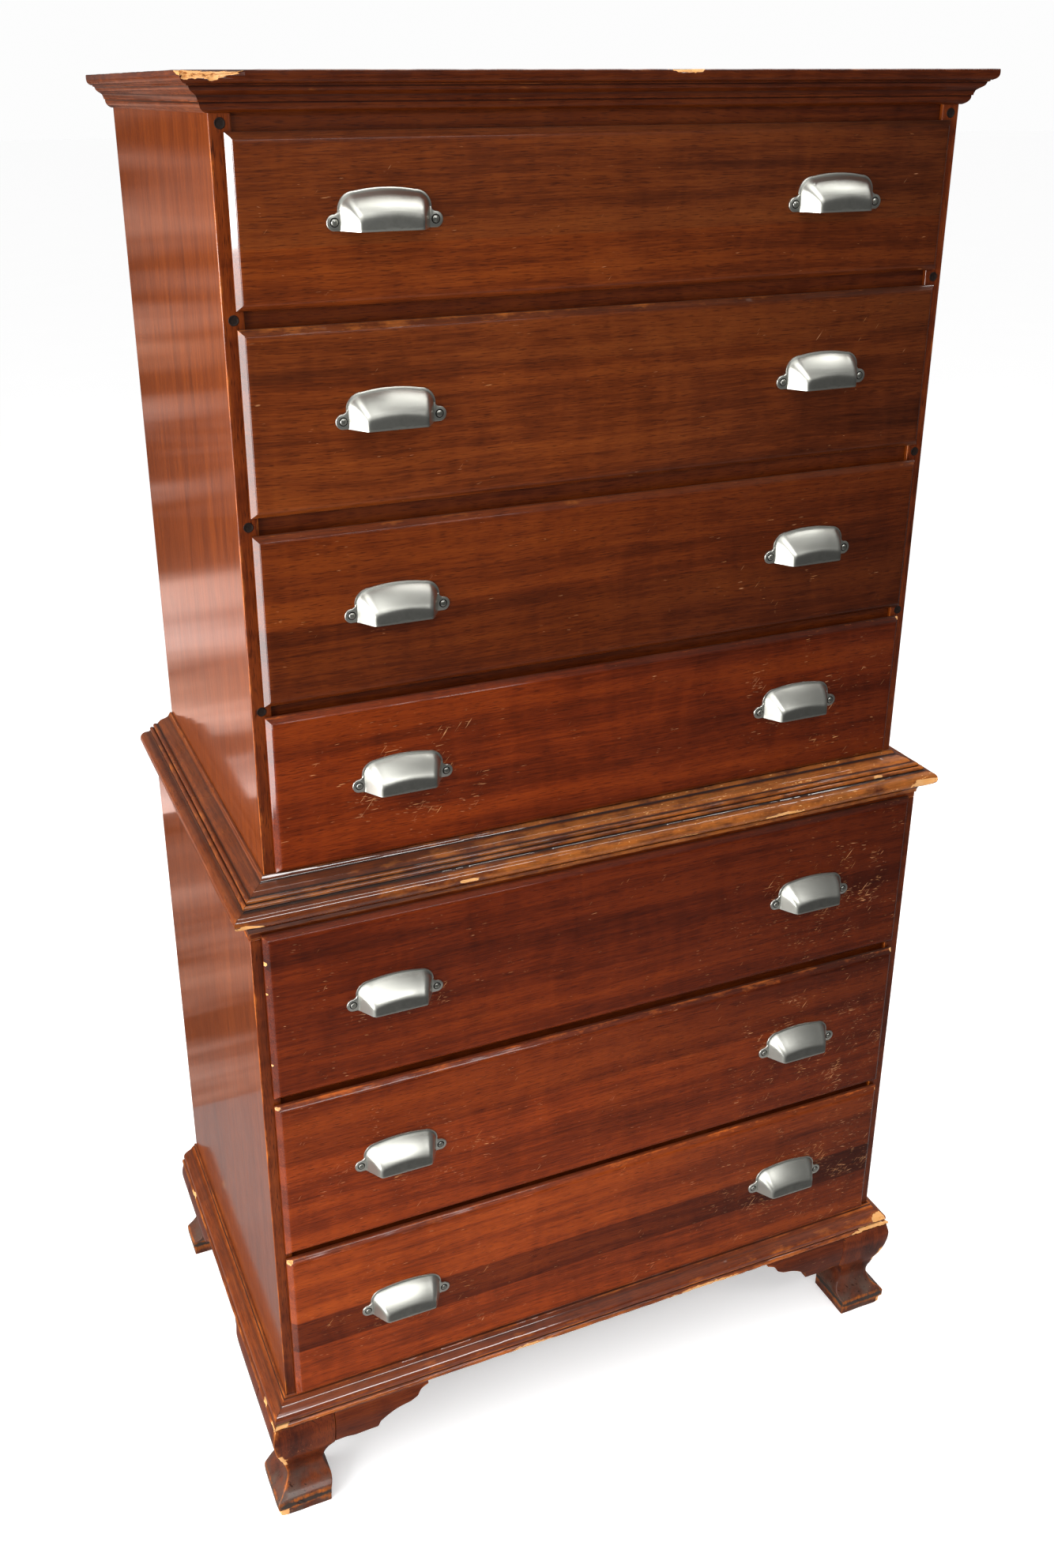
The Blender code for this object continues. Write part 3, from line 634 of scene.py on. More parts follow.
# ---------------------------------------------------------------- boards
def board(name, low, high, materials, body, slot, node, radius, seed, edge_facing=None):
    """A board with rounded edges; faces towards edge_facing take the second material."""
    work = bmesh.new()
    bmesh.ops.create_cube(work, size=1.0)
    size = Vector(high) - Vector(low)
    middle = (Vector(high) + Vector(low)) / 2
    bmesh.ops.transform(work, matrix=Matrix.Translation(middle) @ Matrix.Diagonal((*size, 1)),
                        verts=work.verts)
    bmesh.ops.bevel(work, geom=list(work.edges), offset=radius, segments=3, profile=0.5, affect="EDGES")
    work.normal_update()
    faces = sorted(work.faces, key=lambda face: -face.calc_area())[:6]
    ring = min(0.004, min(size) * 0.3)
    bmesh.ops.inset_individual(work, faces=faces, thickness=ring)
    work.verts.index_update()
    points = [vert.co.copy() for vert in work.verts]
    inner = {vert.index for face in faces for vert in face.verts}
    shape = [tuple(vert.index for vert in face.verts) for face in work.faces]
    work.normal_update()
    second = [int(edge_facing is not None and face.normal.dot(Vector(edge_facing)) > 0.75) for face in work.faces]
    work.free()
    points, shape, second, order = settled(points, shape, second)
    wear = [0.0 if old in inner else 1.0 for old in order]
    thing = add_piece(name, points, shape, materials, body, (node,), wear=wear, board=seed, angle=60)
    thing.data.polygons.foreach_set("material_index", second)
    return thing


def node_board(node, materials, slot, radius, seed, edge_facing=None, name=None):
    """A rounded board in place of a node."""
    low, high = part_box(node)
    return board(name or node + "_board", low, high, materials, "case", slot, node, radius, seed, edge_facing)


# ---------------------------------------------------------------- operators
class CHEST_OT_materials(bpy.types.Operator):
    """Makes the shared node groups and every finish of the chest"""
    bl_idname = "chest.materials"
    bl_label = "Finishes"

    def execute(self, context):
        colours = context.scene.chest_colours
        for make in (wood_grain_group, edge_wear_group, scratches_group, dust_group):
            make()
        # The side veneer's tone is partly its own colour and partly painted sheen, lighter than the fronts in
        # place of reflections.
        veneer = (1.40, 1.55, 1.3)
        mahogany("side_veneer", colours, "Z", tone=veneer, wear=0.55, bands=0.22, pores=0.25, figure=0.05,
                 rough=0.34, coat=0.8, coat_rough=0.10, ripple=1.2, bump=0.30)
        mahogany("board_edge", colours, "Z", tone=(0.80, 0.78, 0.8), wear=0.35, bands=1.0, pores=0.8,
                 figure=0.5)
        mahogany("top_board", colours, "X", tone=0.9, wear=0.6, marks=(0.12, []))
        mahogany("rail_wood", colours, "X", tone=0.62, wear=0.3, rough=0.42, coat=0.1)
        mahogany("cornice_wood", colours, "X", tone=0.50, wear=0.30, rough=0.36, coat=0.3)
        # Lit copy of the cornice's wood: lighter and pinker than the front's, a painted highlight on the side's
        # reeds.
        mahogany("cornice_side_wood", colours, "Y", tone=(1.25, 1.45, 1.8), wear=0.35, coat=0.9)
        mahogany("waist_wood", colours, "X", tone=(0.80, 0.92, 0.85), wear=0.68, hollow_shade=1.0, rough=0.30,
                 coat=1.0, coat_rough=0.07, coat_ior=1.8)
        mahogany("waist_side_wood", colours, "Y", tone=(1.1, 1.3, 1.6), wear=0.45, rough=0.30, coat=0.6)
        mahogany("base_wood", colours, "X", tone=1.05, wear=0.90, rough=0.30, coat=1.0, coat_rough=0.08,
                 coat_ior=1.8)
        mahogany("base_side_wood", colours, "Y", tone=(1.15, 1.28, 1.2), wear=0.75, hollow_shade=1.0, rough=0.32,
                 coat=0.5)
        mahogany("foot_wood", colours, "Z", tone=(0.82, 0.78, 0.90), wear=0.80, figure=0.7, bands=0.9,
                 marks=(0.20, []), toe=True)
        mahogany("bracket_wood", colours, "X", tone=(0.78, 0.74, 0.8), wear=0.65, marks=(0.12, []))
        mahogany("bracket_side_wood", colours, "Y", tone=(0.78, 0.76, 0.8), wear=0.65, marks=(0.12, []))
        secondary_wood("pine_along_x", colours, "X")
        secondary_wood("pine_along_y", colours, "Y")
        secondary_wood("back_board", colours, "Z", tone=(0.74, 0.60, 0.56))
        brushed_nickel("nickel", colours, rough=0.345)
        brushed_nickel("screw_steel", colours, tone=0.7, rough=0.345)
        dark_filler("plug_filler", (0.012, 0.006, 0.004))
        dark_filler("screw_slot", (0.015, 0.014, 0.012))
        return {"FINISHED"}


class CHEST_OT_cases(bpy.types.Operator):
    """Side boards, tops, rails and backs of the two cases"""
    bl_idname = "chest.cases"
    bl_label = "Cases"

    def execute(self, context):
        sizes = context.scene.chest_sizes
        for case in ("upper", "lower"):
            for index, word in enumerate(("left", "right")):
                node_board(f"{case}_{word}_side", ("side_veneer", "board_edge"), "mahogany",
                           sizes.edge_radius, 0.37 * index + (1.3 if case == "lower" else 0.0), (0, -1, 0))
            node_board(f"{case}_top_panel", ("top_board",), "mahogany", sizes.edge_radius, 0.9)
            node_board(f"{case}_back", ("back_board",), "secondary_wood", 0.0008, 2.1)
        rails = ["upper_top_rail", "upper_bottom_panel", "lower_bottom_panel", "upper_divider_1",
                 "upper_divider_2", "upper_divider_3", "lower_divider_1", "lower_divider_2"]
        for node in rails:
            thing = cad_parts[node]
            if not thing.material_slots:
                thing.data.materials.append(None)
            for place in thing.material_slots:
                place.link = "OBJECT"
                place.material = material("rail_wood")
        return {"FINISHED"}


# ---------------------------------------------------------------- mouldings
OUTLINE_STEP = 0.0022       # longest stretch of a section without a point
HIDDEN = 0.0012             # a section nearer the case than this is not seen
CORNER_REACH = 0.03         # how far from a mitre its edges are more worn
CHIP_STEP = 0.0011          # cross-sections beside a chip
LOW_EDGE = 0.0016           # height of a section's worn bottom edge
HOLLOW = -0.28              # exposure below which a rubbed length keeps its painted shade


def stretched(points, out, height):
    """Points drawn at any scale, taken to a given reach and height."""
    p = np.array(points, float)
    return p * (out / p[:, 0].max(), height / np.ptp(p[:, 1]))


def cornice_outline():
    """Section of the cornice: distance out from the case, and height."""
    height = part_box("cornice_front")[1].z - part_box("cornice_front")[0].z
    out = UPPER_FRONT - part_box("cornice_front")[0].y
    face = [(2.5, 0), *spline([(2.6, 0.2), (6.2, 2.4), (8.5, 6), (8.8, 9.5)], 5), (10.3, 9.5), (10.3, 11.2),
            *spline([(10.6, 12), (12, 15), (15.6, 17.6), (18.6, 19.8), (20, 23.4)], 5), (22.2, 23.8),
            (22.2, 25.4), *arc((22.6, 31.6), 6.4, -80, 0, 10), (29, 36.2), (28.2, 37)]
    face = densified([tuple(p) for p in stretched(face, out, height)], OUTLINE_STEP)
    return [(GAP, 0.0), *face, (GAP, height)]


def waist_outline():
    """Section of the waist: a cove, two beads, and a nose that overhangs the lower case."""
    low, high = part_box("waist_moulding_front")
    height = high.z - low.z
    nose_out = UPPER_FRONT - low.y - STEP
    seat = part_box("lower_top_panel")[1].z + GAP - high.z
    cove = [(2.8, 0), (3.4, -1.6), *spline([(4.2, -2.6), (6.4, -6), (11.5, -8.2), (17, -9.8), (20.8, -13.4)],
                                           6)]
    nose = stretched([
        (-6, -14.6), (-5, -14.4), *arc((-2.6, -16.6), 3.0, 110, -50, 8),
        (0, -19.2), *arc((2.6, -20.9), 3.0, 110, -50, 8), (5.4, -23.2), (6.8, -24.3), (8.8, -24.6),
        *arc((10.8, -33.7), 9.2, 88, -96, 18), (6.6, -43.8), (6, -45.6),
        *spline([(5.6, -45.8), (2.6, -49.4), (1.4, -54)], 5), (1.2, -56.5), (1.2, 0)], nose_out, height)[:-1]
    face = [(a / 1000, z / 1000) for a, z in cove] + [(STEP + a, z) for a, z in nose]
    face = densified(face, OUTLINE_STEP)
    return [(GAP, 0.0), *face, (STEP + GAP, -height), (STEP + GAP, seat), (GAP, seat)]


def base_outline():
    """Section of the base: a bead below and a long hollow above."""
    low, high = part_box("base_moulding_front")
    face = [(21.4, 0), *arc((22.1, 3.5), 3.4, -85, 85, 10), (20.6, 7.3), (20.6, 8.9), (22, 9.1),
            *spline([(22.2, 10.6), (20.6, 16), (15.4, 20.4), (9.6, 23.4), (5.4, 28.4)], 5), (3.4, 29),
            (3.4, 32)]
    face = densified([tuple(p) for p in stretched(face, LOWER_FRONT - low.y, high.z - low.z)], OUTLINE_STEP)
    return [(GAP, 0.0), *face, (GAP, high.z - low.z)]


def moulding_run(name, node, outline, half, front, level, side, materials, sizes, chips, seed, rub=None,
                 low_edge=0.0):
    """One length of moulding: side is 0 for the front, -1 for the left and 1 for the right."""
    normal, wear = exposure(outline)
    profile = np.array(outline)
    out = profile[:, 0]
    span = 2 * half if side == 0 else BACK_Y - front
    places = list(np.linspace(0, 1, max(2, int(span / sizes.section_step))))
    for centre, reach, _ in chips:
        along = (centre[0] + half) / span if side == 0 else (centre[1] - front) / span
        width = reach[0 if side == 0 else 1] * 1.2 / span
        places += list(np.clip(np.linspace(along - width, along + width,
                                           max(6, int(width * span / CHIP_STEP))), 0, 1))
    places = sorted(set(np.round(places, 5)))
    rings = []
    inward = []
    weights = []
    for t in places:
        if side == 0:
            reach_x = half + out - MITRE
            ring = np.column_stack([-reach_x + 2 * reach_x * t, front - out, level + profile[:, 1]])
            turn = np.column_stack([np.zeros(len(out)), normal[:, 0], -normal[:, 1]])
            corner = max(0.0, 1 - min(t, 1 - t) * span / CORNER_REACH)
        else:
            start = front - out + MITRE
            ring = np.column_stack([side * (half + out), start + (BACK_Y - start) * t, level + profile[:, 1]])
            turn = np.column_stack([-side * normal[:, 0], np.zeros(len(out)), -normal[:, 1]])
            corner = max(0.0, 1 - t * span / CORNER_REACH)
        visible = (out > HIDDEN)[:, None]
        rings.append(ring)
        inward.append(turn * visible)
        if rub is None:
            place_wear = wear * (1 + 0.8 * corner)
        else:
            place_wear = np.where(wear < HOLLOW, wear * 1.3, wear + rub(t) * (1 - abs(wear)))
        lowest = (profile[:, 1] < LOW_EDGE) & (out > 0.8 * out.max())
        weights.append(np.clip(place_wear + low_edge * lowest, -1, 1.6) * (out > HIDDEN))
    points, faces = loft(rings)
    weights = np.concatenate(weights)
    points, bare = dented(points, np.vstack(inward), weights, sizes.dent_depth, chips, seed)
    return add_piece(name, points, faces, materials, "case", (node,), wear=weights, bare=bare,
                     board=seed, angle=28)


def chip(x, y, z, along, across, up, depth):
    """A chip's centre, its reach along each axis, and its depth."""
    return (np.array((x, y, z)), np.array((along, across, up)), depth)


class CHEST_OT_mouldings(bpy.types.Operator):
    """Cornice, waist and base mouldings with their worn edges and chips"""
    bl_idname = "chest.mouldings"
    bl_label = "Mouldings"

    def execute(self, context):
        sizes = context.scene.chest_sizes
        cornice_low, cornice_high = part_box("cornice_front")
        waist_low, waist_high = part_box("waist_moulding_front")
        base_low, base_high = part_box("base_moulding_front")
        nose = waist_low.z + 0.020
        chips = {
            "cornice_front": [
                chip(cornice_low.x + 0.026, cornice_low.y, cornice_high.z - 0.001, 0.030, 0.012, 0.0085, 0.0055),
                chip(0.06, cornice_low.y, cornice_high.z, 0.022, 0.004, 0.0035, 0.0015),
            ],
            "cornice_left": [
                chip(cornice_low.x, cornice_low.y + 0.008, cornice_high.z, 0.010, 0.020, 0.006, 0.0035),
            ],
            "cornice_right": [],
            "waist_moulding_front": [
                chip(waist_low.x + 0.012, waist_low.y, nose - 0.004, 0.018, 0.012, 0.008, 0.0030),
                chip(0.24, waist_low.y + 0.002, nose - 0.002, 0.030, 0.008, 0.0045, 0.0022),
                chip(0.10, waist_low.y + 0.003, nose - 0.005, 0.012, 0.007, 0.003, 0.0012),
                chip(waist_high.x - 0.02, waist_low.y, nose, 0.022, 0.012, 0.008, 0.0024),
                chip(waist_high.x - 0.085, waist_low.y + 0.018, waist_high.z - 0.022, 0.008, 0.010, 0.004, 0.002),
                chip(-0.20, waist_low.y + 0.001, nose + 0.001, 0.010, 0.008, 0.004, 0.0010),
            ],
            "waist_moulding_left": [
                chip(-LOWER_HALF - 0.019, waist_low.y + 0.008, nose - 0.004, 0.010, 0.014, 0.007, 0.0025),
            ],
            "waist_moulding_right": [
                chip(LOWER_HALF + 0.019, waist_low.y + 0.010, nose, 0.010, 0.020, 0.008, 0.0025),
            ],
            "base_moulding_front": [
                chip(base_low.x + 0.008, base_low.y, base_low.z + 0.004, 0.014, 0.010, 0.006, 0.0025),
                chip(0.16, base_low.y, base_low.z + 0.003, 0.060, 0.005, 0.0032, 0.0013),
                chip(-0.12, base_low.y, base_low.z + 0.003, 0.030, 0.005, 0.003, 0.0012),
                chip(base_high.x - 0.03, base_low.y, base_low.z + 0.004, 0.045, 0.008, 0.0055, 0.0020),
                chip(base_high.x - 0.012, base_low.y + 0.004, base_high.z - 0.016, 0.018, 0.010, 0.008, 0.0018),
            ],
            "base_moulding_left": [
                chip(base_low.x, base_low.y + 0.050, base_low.z + 0.004, 0.006, 0.006, 0.005, 0.0022),
                chip(base_low.x, base_low.y + 0.006, base_low.z + 0.003, 0.008, 0.010, 0.006, 0.0022),
                chip(base_low.x, BACK_Y - 0.09, base_low.z + 0.004, 0.006, 0.008, 0.004, 0.0015),
            ],
            "base_moulding_right": [
                chip(base_high.x, base_low.y + 0.012, base_low.z + 0.004, 0.008, 0.022, 0.006, 0.0022),
            ],
        }
        runs = (
            ("cornice", cornice_outline(), UPPER_HALF, UPPER_FRONT, cornice_low.z, "cornice"),
            ("waist_moulding", waist_outline(), UPPER_HALF, UPPER_FRONT, waist_high.z, "waist"),
            ("base_moulding", base_outline(), LOWER_HALF, LOWER_FRONT, base_low.z, "base"),
        )
        rubbed_length = {
            "waist_moulding_front": lambda t: 0.05 + 1.45 * min(1.0, max(0.0, (t - 0.10) / 0.34)),
            "base_moulding_front": lambda t: 0.12 + 0.45 * max(0.0, (t - 0.72) / 0.28),
        }
        for seed, (prefix, outline, half, front, level, wood) in enumerate(runs):
            for side, word in ((0, "front"), (-1, "left"), (1, "right")):
                node = f"{prefix}_{word}"
                finish = f"{wood}_wood" if side == 0 else f"{wood}_side_wood"
                moulding_run(node + "_length", node, outline, half, front, level, side, (finish,), sizes,
                             chips[node], 1.7 * seed + 0.6 * side, rubbed_length.get(node),
                             0.6 if prefix == "base_moulding" else 0.0)
        return {"FINISHED"}


# ---------------------------------------------------------------- feet
PAD_TOP = 0.0110            # the small pad under a leg
TOE_TOP = 0.0235            # the square toe above it
FOOT_ROUNDING = 0.0016


def foot_curve(points):
    """Distance out from the case's face at any height, through (distance, height) points."""
    line = np.array(spline(points, 8))
    order = np.argsort(line[:, 1])
    return line[order]


def foot_shape():
    """Levels of a foot with, at each, its outer distance and its inner distance from the face."""
    out = FOOT_OUT
    outer = foot_curve([(out, TOE_TOP), (out - 0.014, 0.036), (out - 0.020, 0.054), (out - 0.0145, 0.077),
                        (out - 0.0065, 0.098), (out - 0.0005, 0.132), (out - 0.004, FOOT_TOP)])
    toe = 0.045
    inner = foot_curve([(toe + 0.001, 0.022), (toe + 0.0055, 0.034), (toe - 0.001, 0.052),
                        (toe - 0.003, 0.068), (toe + 0.003, 0.088), (LEG_IN - GAP, 0.0975)])
    levels = [0.0, 0.0012, 0.0105, 0.0122, 0.0135, 0.0180, 0.0225, 0.0245]
    levels += list(np.linspace(0.027, 0.0975, 34)) + list(np.linspace(0.102, FOOT_TOP - 0.0012,
                                                                      14)) + [FOOT_TOP]
    shape = []
    for z in levels:
        if z < PAD_TOP:
            a = out - 0.002
        elif z < TOE_TOP:
            a = out
        else:
            a = float(np.interp(z, outer[:, 1], outer[:, 0]))
        b = float(np.interp(z, inner[:, 1], inner[:, 0]))
        shape.append((z, a, b))
    return shape


def corner_ring(x0, x1, y0, y1, radius, steps=4):
    """A rectangle with rounded corners, counter-clockwise from above, with points along its sides."""
    corners = [((x1 - radius, y0 + radius), -90), ((x1 - radius, y1 - radius), 0),
               ((x0 + radius, y1 - radius), 90), ((x0 + radius, y0 + radius), 180)]
    ring = []
    for (centre, start) in corners:
        ring += arc(centre, radius, start, start + 90, steps)
    closed = ring + ring[:1]
    line = []
    for first, last in zip(closed, closed[1:]):
        long = math.dist(first, last) > radius * 1.2
        parts = 8 if long else 1
        start, way = np.array(first), np.array(last) - np.array(first)
        line += [tuple(start + way * i / parts) for i in range(parts)]
    return line


def add_leg(name, node, sign, at_back, sizes, seed):
    """Leg block: a rounded square at each level, curved on its outer faces."""
    rings = []
    wear = []
    inward = []
    for z, a, b in foot_shape():
        x_out, x_in = LOWER_HALF + a, LOWER_HALF - b
        if at_back:
            y0, y1 = BACK_Y - b, BACK_Y
        else:
            y0, y1 = LOWER_FRONT - a, LOWER_FRONT + b
        ring = np.array(corner_ring(x_in, x_out, y0, y1, FOOT_ROUNDING))
        if sign < 0:
            ring[:, 0] *= -1
        middle = np.array((sign * (x_out + x_in) / 2, (y0 + y1) / 2))
        points = np.column_stack([ring, np.full(len(ring), z)])
        away = np.minimum(abs(abs(ring[:, 0]) - x_out), abs(abs(ring[:, 0]) - x_in))
        away_y = np.minimum(abs(ring[:, 1] - y0), abs(ring[:, 1] - y1))
        corner = np.clip(1 - np.maximum(away, away_y) / 0.003, 0, 1)
        outer = (abs(ring[:, 0]) > LOWER_HALF - 0.002) & (ring[:, 1] < LOWER_FRONT + 0.002) & (not at_back)
        corner = np.where(outer, corner * 1.5, corner * 0.7)
        ledge = 0.9 if 0.010 < z < 0.0140 or 0.0215 < z < 0.0250 else 0.0
        foot_edge = 0.9 if z < 0.001 else 0.0
        wear.append(np.maximum(corner, max(ledge, foot_edge)))
        turn = middle - ring
        turn = turn / np.linalg.norm(turn, axis=1)[:, None]
        inward.append(np.column_stack([turn, np.zeros(len(ring))]))
        rings.append(points)
    points, faces = loft(rings)
    if sign < 0:
        faces = [face[::-1] for face in faces]
    chips = []
    if not at_back:
        tip_x, tip_y = sign * (LOWER_HALF + FOOT_OUT), LOWER_FRONT - FOOT_OUT
        chips = [chip(tip_x, tip_y, 0.005, 0.016, 0.016, 0.010, 0.0030),
                 chip(tip_x * 0.985, tip_y + 0.012, 0.090, 0.012, 0.012, 0.022, 0.0018)]
    wear = np.concatenate(wear)
    points, bare = dented(points, np.vstack(inward), wear, sizes.dent_depth * 1.5, chips, seed)
    return add_piece(name, points, faces, ("foot_wood",), "case", (node,), wear=wear, bare=bare,
                     board=seed, angle=40)


def bracket_low(t):
    """Height of a bracket's lower edge, t from the joint with the leg."""
    line = np.array([
        *spline([(0.0, 0.0975), (0.0145, 0.0985), (0.0285, 0.0955), (0.0445, 0.0965), (0.060, 0.0965)], 6),
        *spline([(0.0635, 0.1075), (0.0755, 0.1175), (0.0885, 0.1245), (0.1065, 0.1290)], 6),
        *spline([(0.116, 0.1345), (0.1215, 0.143), (0.1325, 0.1475)], 6)])
    return float(np.interp(t, line[:, 0], line[:, 1]))


def add_bracket(name, node, start, place, finish, seed):
    """Bracket from the leg's joint to its thin end; place(t, out, z) puts its points in the chest."""
    levels = foot_curve([(FOOT_OUT - 0.020, 0.054), (FOOT_OUT - 0.0145, 0.077), (FOOT_OUT - 0.0065, 0.098),
                         (FOOT_OUT - 0.0005, 0.132), (FOOT_OUT - 0.004, FOOT_TOP)])
    rings = []
    wear = []
    length = BRACKET_END - LEG_IN
    ts = sorted(set([start, *np.linspace(max(start, 0.0), length, 78), 0.0602, 0.0634, 0.1068, 0.1157]))
    for t in ts:
        low = bracket_low(max(t, 0.0))
        heights = np.concatenate([[low, low + 0.0006, low + 0.0016],
                                  np.linspace(low + 0.004, FOOT_TOP - 0.0004, 14)])
        outs = np.interp(heights, levels[:, 1], levels[:, 0])
        outs[0] -= 0.0014
        outs[1] -= 0.0004
        front = [place(t, a, z) for a, z in zip(outs, heights)]
        back = [place(t, -BRACKET_BACK, FOOT_TOP), place(t, -BRACKET_BACK, low)]
        rings.append(np.array(front + [place(t, outs[-1] - 0.0005, FOOT_TOP)] + back))
        edge = np.zeros(len(front) + 3)
        edge[:3] = 0.9
        wear.append(edge)
    points, faces = loft(rings)
    return add_piece(name, points, faces, (finish,), "case", (node,), wear=np.concatenate(wear),
                     board=seed, angle=32)


class CHEST_OT_feet(bpy.types.Operator):
    """Ogee bracket feet: leg blocks, front brackets and side brackets"""
    bl_idname = "chest.feet"
    bl_label = "Feet"

    def execute(self, context):
        sizes = context.scene.chest_sizes
        for word, sign in (("left", -1), ("right", 1)):
            def front_place(t, out, z):
                return (sign * (LOWER_HALF - LEG_IN - t), LOWER_FRONT - out, z)

            def side_place(t, out, z):
                return (sign * (LOWER_HALF + out), LOWER_FRONT + LEG_IN + t, z)

            def rear_place(t, out, z):
                return (sign * (LOWER_HALF + out), BACK_Y - LEG_IN - t, z)

            add_leg(f"front_{word}_leg", f"front_{word}_foot", sign, False, sizes, 0.4 + sign)
            add_leg(f"rear_{word}_leg", f"rear_{word}_foot", sign, True, sizes, 2.4 + sign)
            front, rear = f"front_{word}", f"rear_{word}"
            for name, node, start, place, finish, seed in (
                    (front + "_bracket_piece", front + "_bracket", 0.0, front_place, "bracket_wood", 0.8),
                    (front + "_side_bracket", front + "_foot", GAP, side_place, "bracket_side_wood", 1.8),
                    (rear + "_side_bracket", rear + "_foot", GAP, rear_place, "bracket_side_wood", 2.8)):
                add_bracket(name, node, start, place, finish, seed * sign)
        return {"FINISHED"}


# ---------------------------------------------------------------- drawers
def frame_ring(half_x, half_z, inset, y, across, upward):
    """A rectangle in X-Z from its lower left corner; across and upward run from -1 to 1."""
    x, z = half_x - inset[0], half_z - inset[1]
    ring = [(a * x, -z) for a in across[:-1]] + [(x, b * z) for b in upward[:-1]]
    ring += [(a * x, z) for a in across[::-1][:-1]] + [(-x, b * z) for b in upward[::-1][:-1]]
    return np.array([(a, y, b) for a, b in ring])


def shares(length, step, spots):
    """Positions from -1 to 1 along a length, step apart and closer together near the spots."""
    places = list(np.linspace(-1, 1, int(length / step)))
    for spot, reach in spots:
        near = 2.6 * reach / length
        places += list(np.clip(np.linspace(spot - near, spot + near, 15), -1, 1))
    places += [-1 + 0.002 / length, 1 - 0.002 / length]
    return np.array(sorted(set(np.round(places, 5))))


def front_profile(face, case):
    """Rings of a drawer front, back to face: insets from its sides and ends, depth and wear."""
    thumb = 0.0058
    rise = 0.0008
    edge = face + rise + thumb
    rings = [(SIDE_LIP + 0.0004, RAIL_LIP + 0.0004, case + REBATE, 0.0, 0),
             (SIDE_LIP, RAIL_LIP, case + REBATE - 0.0006, 0.1, 0),
             (SIDE_LIP, RAIL_LIP, case - GAP, 0.0, 0), (0.0007, 0.0007, case - GAP, 0.2, 0),
             (0.0, 0.0, case - GAP - 0.0007, 0.4, 0), (0.0, 0.0, edge + 0.0012, 0.2, 0.3)]
    for across, back in spline([(0.0, 0.0), (0.0005, -0.0010), (0.0024, -0.0028), (0.0044, -0.0047),
                                (0.0055, -0.0056), (0.0060, -0.0058)], 2):
        rings.append((across, across, edge + back, 0.9 if 0.0002 < across < 0.0012 else 0.6, 1.0))
    rings += [(0.0064, 0.0064, face + rise * 0.5, 0.1, 0.5), (0.0067, 0.0067, face + 0.0003, 0.0, 0),
              (0.0074, 0.0074, face, 0.0, 0), (0.0110, 0.0110, face, 0.0, 0)]
    return rings


# For each drawer: tone and the seams of its glued boards as (share of the height, tint), then
# how scratched it is overall, round the left pull and round the right pull, and how rubbed its
# top lip is at the left and at the right.
FrontLook = namedtuple("FrontLook", "tone seams scratched left right lip")
FRONTS = {
    1: FrontLook((0.98, 1.08, 1.30), [(0.36, (0.86, 0.96, 1.35))], 0.05, 0.10, 0.06, (0.2, 0.2)),
    2: FrontLook((0.93, 1.08, 1.50), [(0.72, (0.94, 0.98, 1.1))], 0.05, 0.12, 0.08, (1.5, 0.5)),
    3: FrontLook((0.66, 0.66, 0.60), [(0.46, (1.30, 1.30, 1.30))], 0.05, 0.08, 0.08, (0.7, 0.4)),
    4: FrontLook((1.10, 0.82, 0.30), [(0.30, (0.96, 0.96, 0.92)), (0.74, (0.92, 0.96, 1.1))], 0.08, 0.45,
                 0.25, (0.6, 0.6)),
    5: FrontLook((1.00, 0.74, 0.20), [(0.34, (0.84, 0.80, 0.76))], 0.13, 0.28, 0.40, (0.2, 0.4)),
    6: FrontLook((1.36, 1.08, 0.50), [(0.62, (0.76, 0.76, 0.80))], 0.17, 0.32, 0.42, (1.3, 1.0)),
    7: FrontLook((1.72, 1.50, 1.00), [(0.34, (0.46, 0.44, 0.56)), (0.55, (0.94, 0.96, 1.0))], 0.19, 0.24,
                 0.44, (1.1, 1.0)),
}
# Chips on a front's ends: which end, share of the height, reach and depth.
FRONT_CHIPS = {
    4: [(1, 1.0, 0.005, 0.0010)],
    5: [(-1, 0.84, 0.0030, 0.0006), (-1, 0.66, 0.0016, 0.0004), (-1, 0.22, 0.0016, 0.0004)],
    6: [(-1, 1.0, 0.0060, 0.0014), (1, 1.0, 0.0055, 0.0012), (1, 0.82, 0.0025, 0.0006)],
    7: [(-1, 1.0, 0.0075, 0.0018), (1, 0.98, 0.0040, 0.0008)],
}


def front_material(number, colours):
    """A drawer front's wood, more scratched round its pulls, with painted shade towards its right end."""
    look = FRONTS[number]
    low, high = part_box(f"drawer_{number}_front")
    height = high.z - low.z
    heights = [(low.z + share * height, tint) for share, tint in look.seams]
    places = []
    for word, density in (("left", look.left), ("right", look.right)):
        pull_low, pull_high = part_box(f"drawer_{number}_{word}_pull")
        shift, reach = (0.012, 0.17) if word == "left" else (0.045, 0.24)
        places.append(((pull_low.x + pull_high.x) / 2 + shift, pull_low.z - 0.004, reach, density))
    # Painted shade: each front darkens towards its right end.
    return mahogany(f"drawer_{number}_wood", colours, "X", tone=look.tone, wear=0.62, bands=0.75, pores=0.6,
                    figure=0.22, rough=0.36, coat=0.06, coat_rough=0.07, coat_ior=1.9, right_shade=0.54,
                    seams=heights, marks=(look.scratched, places), bump=0.22)


